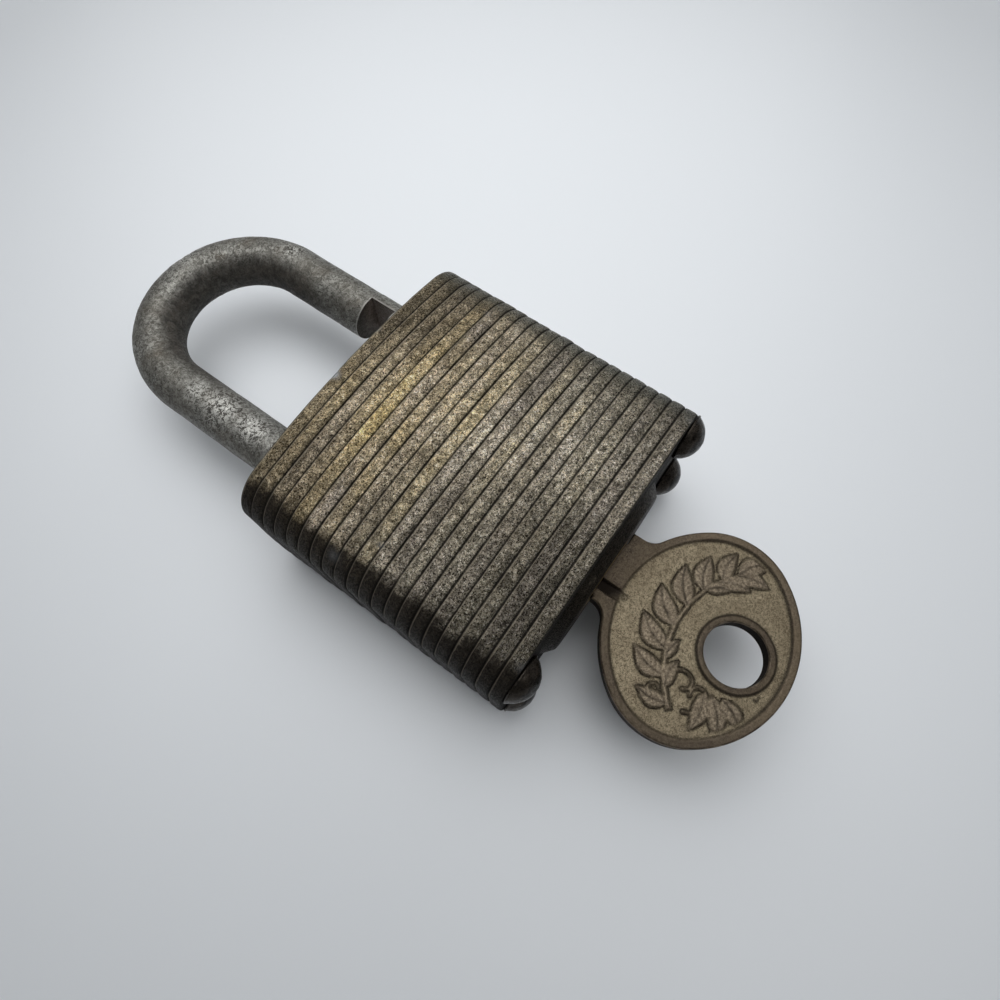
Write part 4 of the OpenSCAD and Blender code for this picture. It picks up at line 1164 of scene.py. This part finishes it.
outline_xy = np.array(key_outline())
ring_count = int(2 * math.pi * RING_R / KEY_CELL)
ring_xy = np.array([(RING_X + RING_R * math.cos(-a), RING_Y + RING_R * math.sin(-a))
                    for a in np.linspace(0, 2 * math.pi, ring_count, endpoint=False)])
spots = []
for loop in (outline_xy, ring_xy):
    way = np.roll(loop, -1, axis=0) - np.roll(loop, 1, axis=0)
    inward = np.stack([-way[:, 1], way[:, 0]], 1) / np.linalg.norm(way, axis=1)[:, None]
    for inset in (0.05, 0.13, 0.24):
        spots.append((loop + inward * inset * MM, 0.9 * inset * MM))
rows = np.arange(key_low.y, key_high.y, KEY_CELL * 0.866)
grid = np.array([(x + (KEY_CELL / 2 if k % 2 else 0), y) for k, y in enumerate(rows)
                 for x in np.arange(key_low.x, key_high.x, KEY_CELL)])
spots.append((grid, 0.34 * MM))
kept = []
for places, least in spots:
    places = places[in_outline(places) & (off_ring(places) > 0)]
    kept.append(places[np.minimum(distance_to(places, outline_xy), off_ring(places)) >= least])
flat_xy = np.concatenate([outline_xy, ring_xy] + kept)
n_out, n_ring = len(outline_xy), len(ring_xy)
borders = [(k, (k + 1) % n_out) for k in range(n_out)]
borders += [(n_out + k, n_out + (k + 1) % n_ring) for k in range(n_ring)]
# The triangulation works in millimetres, where its small tolerance suits the cells
made = delaunay_2d_cdt([Vector((x / MM, y / MM)) for x, y in flat_xy], borders, [], 0, 1e-5)
made_xy = np.array([tuple(v) for v in made[0]]) * MM
made_faces = made[2]
assert len(made_xy) == len(flat_xy)
centres = np.array([made_xy[list(f)].mean(0) for f in made_faces])
solid = in_outline(centres) & (off_ring(centres) > -RING_R * 0.0005)
flat_faces = [tuple(f) for f, keep in zip(made_faces, solid) if keep]

x, y = made_xy.T
from_ring, from_bow = off_ring(made_xy), bow_inset(x, y)
from_edge = np.minimum(distance_to(made_xy, outline_xy), from_ring)
rounded = KEY_EDGE_R - np.sqrt(np.maximum(KEY_EDGE_R ** 2 - np.maximum(KEY_EDGE_R - from_edge, 0) ** 2, 0))
sunk = step(from_bow, RIM_W - 0.10 * MM, RIM_W + 0.30 * MM)
sunk *= step(from_ring, COLLAR_W - 0.05 * MM, COLLAR_W + 0.2 * MM)
rise, line, vein = sprig(x, y)
rim_line = np.exp(-((from_bow - RIM_W - 0.12 * MM) / (0.16 * MM)) ** 2) * (y < SHOULDER_Y)
collar_line = np.exp(-((from_ring - COLLAR_W - 0.08 * MM) / (0.14 * MM)) ** 2)
# A gradient from the bow's lower left (0.25) to its upper right (1), the side towards the lamps: the line
# inside the rim is deeper there, and the rim away from it gets painted shade
rim_lit_side = 0.25 + 0.75 * step(x - BOW_X - y + BOW_Y, -4 * MM, 8 * MM)
clear = step(from_bow, RIM_W + 0.35 * MM, RIM_W + 0.75 * MM)
clear *= step(from_ring, COLLAR_W + 0.3 * MM, COLLAR_W + 0.7 * MM)
rise, line, vein = rise * clear, line * clear, vein * clear
ripple = np.array([wobble(px, py, 0, 1.9 * MM) + 0.5 * wobble(px, py, 0, 0.7 * MM) for px, py in made_xy])
fading = np.clip(0.78 + 0.9 * ripple, 0.45, 1.0)
points = []
values = {k: [] for k in ("field", "hollow", "edge", "leaf")}
for side in (1, -1):
    low_x, high_x = GROOVES[side]
    ramp = np.clip((y - GROOVE_ENDS[1]) / (GROOVE_ENDS[0] - GROOVE_ENDS[1]), 0, 1)
    within = 1 - step(x, high_x - 0.06 * MM, high_x + 0.06 * MM)
    across = step(x, low_x - 0.06 * MM, low_x + 0.06 * MM)
    slope = np.clip((x - low_x) / (high_x - low_x), 0, 1)
    groove = GROOVE_DEPTH * ramp * within * (across * ramp + slope * (1 - ramp))
    shelf = SHELF_DROP * step(y, SHELF_Y - 0.1 * MM, SHELF_Y + 0.1 * MM)
    shelf *= step(x, high_x, high_x + 0.2 * MM) * (y < SHOULDER_Y)
    face = KEY_T / 2 - FIELD_DEPTH * sunk - groove - shelf
    face += sunk * (LEAF_RISE * rise - LINE_DEPTH * line - VEIN_DEPTH * vein)
    face += RIPPLE * ripple * (0.5 + sunk) - 0.03 * MM
    face -= 0.05 * MM * (rim_line * rim_lit_side + collar_line) * (sunk > 0.02)
    face = np.minimum(face, KEY_T / 2 - rounded)
    points += [(px, py, mid_z + side * h) for px, py, h in zip(x, y, face)]
    values["field"] += list(sunk * (1 - 0.8 * rise))
    # Darkened places: the pressed lines, the lines inside rim and collar and the collar by the ring hole,
    # with painted shade on the rim's lower left and in the groove, darker where it is deeper
    darkened_parts = [np.maximum(line, 0.65 * vein) * sunk * fading, 0.7 * rim_line * rim_lit_side, 0.9 * collar_line,
             0.25 * (1 - step(from_ring, COLLAR_W * 0.5, COLLAR_W)),
             0.30 * (1 - rim_lit_side) * (1 - step(from_bow, RIM_W - 0.2 * MM, RIM_W)),
             groove / GROOVE_DEPTH * 1.6]
    values["hollow"] += list(np.clip(np.max(darkened_parts, axis=0), 0, 1))
    values["edge"] += list(np.clip(1 - from_edge / (0.45 * MM), 0, 1) * 0.8 + 0.25 * rise * sunk)
    values["leaf"] += list(rise * sunk)
# The lower face is the upper one turned over, with its vertices numbered after it
lower = len(made_xy)
faces = flat_faces + [(lower + c, lower + b, lower + a) for a, b, c in flat_faces]
# The walls of the outline and of the ring hole, with a ring just inside each edge painted dark as shade
walls = []
for side in (1, -1):
    walls.append(len(points))
    for k in range(n_out + n_ring):
        px, py, pz = points[k if side == 1 else lower + k]
        points.append((px, py, pz - side * WALL_DROP))
        for key, value in (("field", 0), ("hollow", 0.85 if k < n_out else 1.0), ("edge", 0), ("leaf", 0)):
            values[key].append(value)
for a, b in borders:
    for upper, under in ((0, walls[0]), (walls[0], walls[1]), (walls[1], lower)):
        faces.append((upper + b, upper + a, under + a, under + b))
make_piece("pressed_key", points, faces, key_bronze, "key", ["key"], sharp=50, values=values)
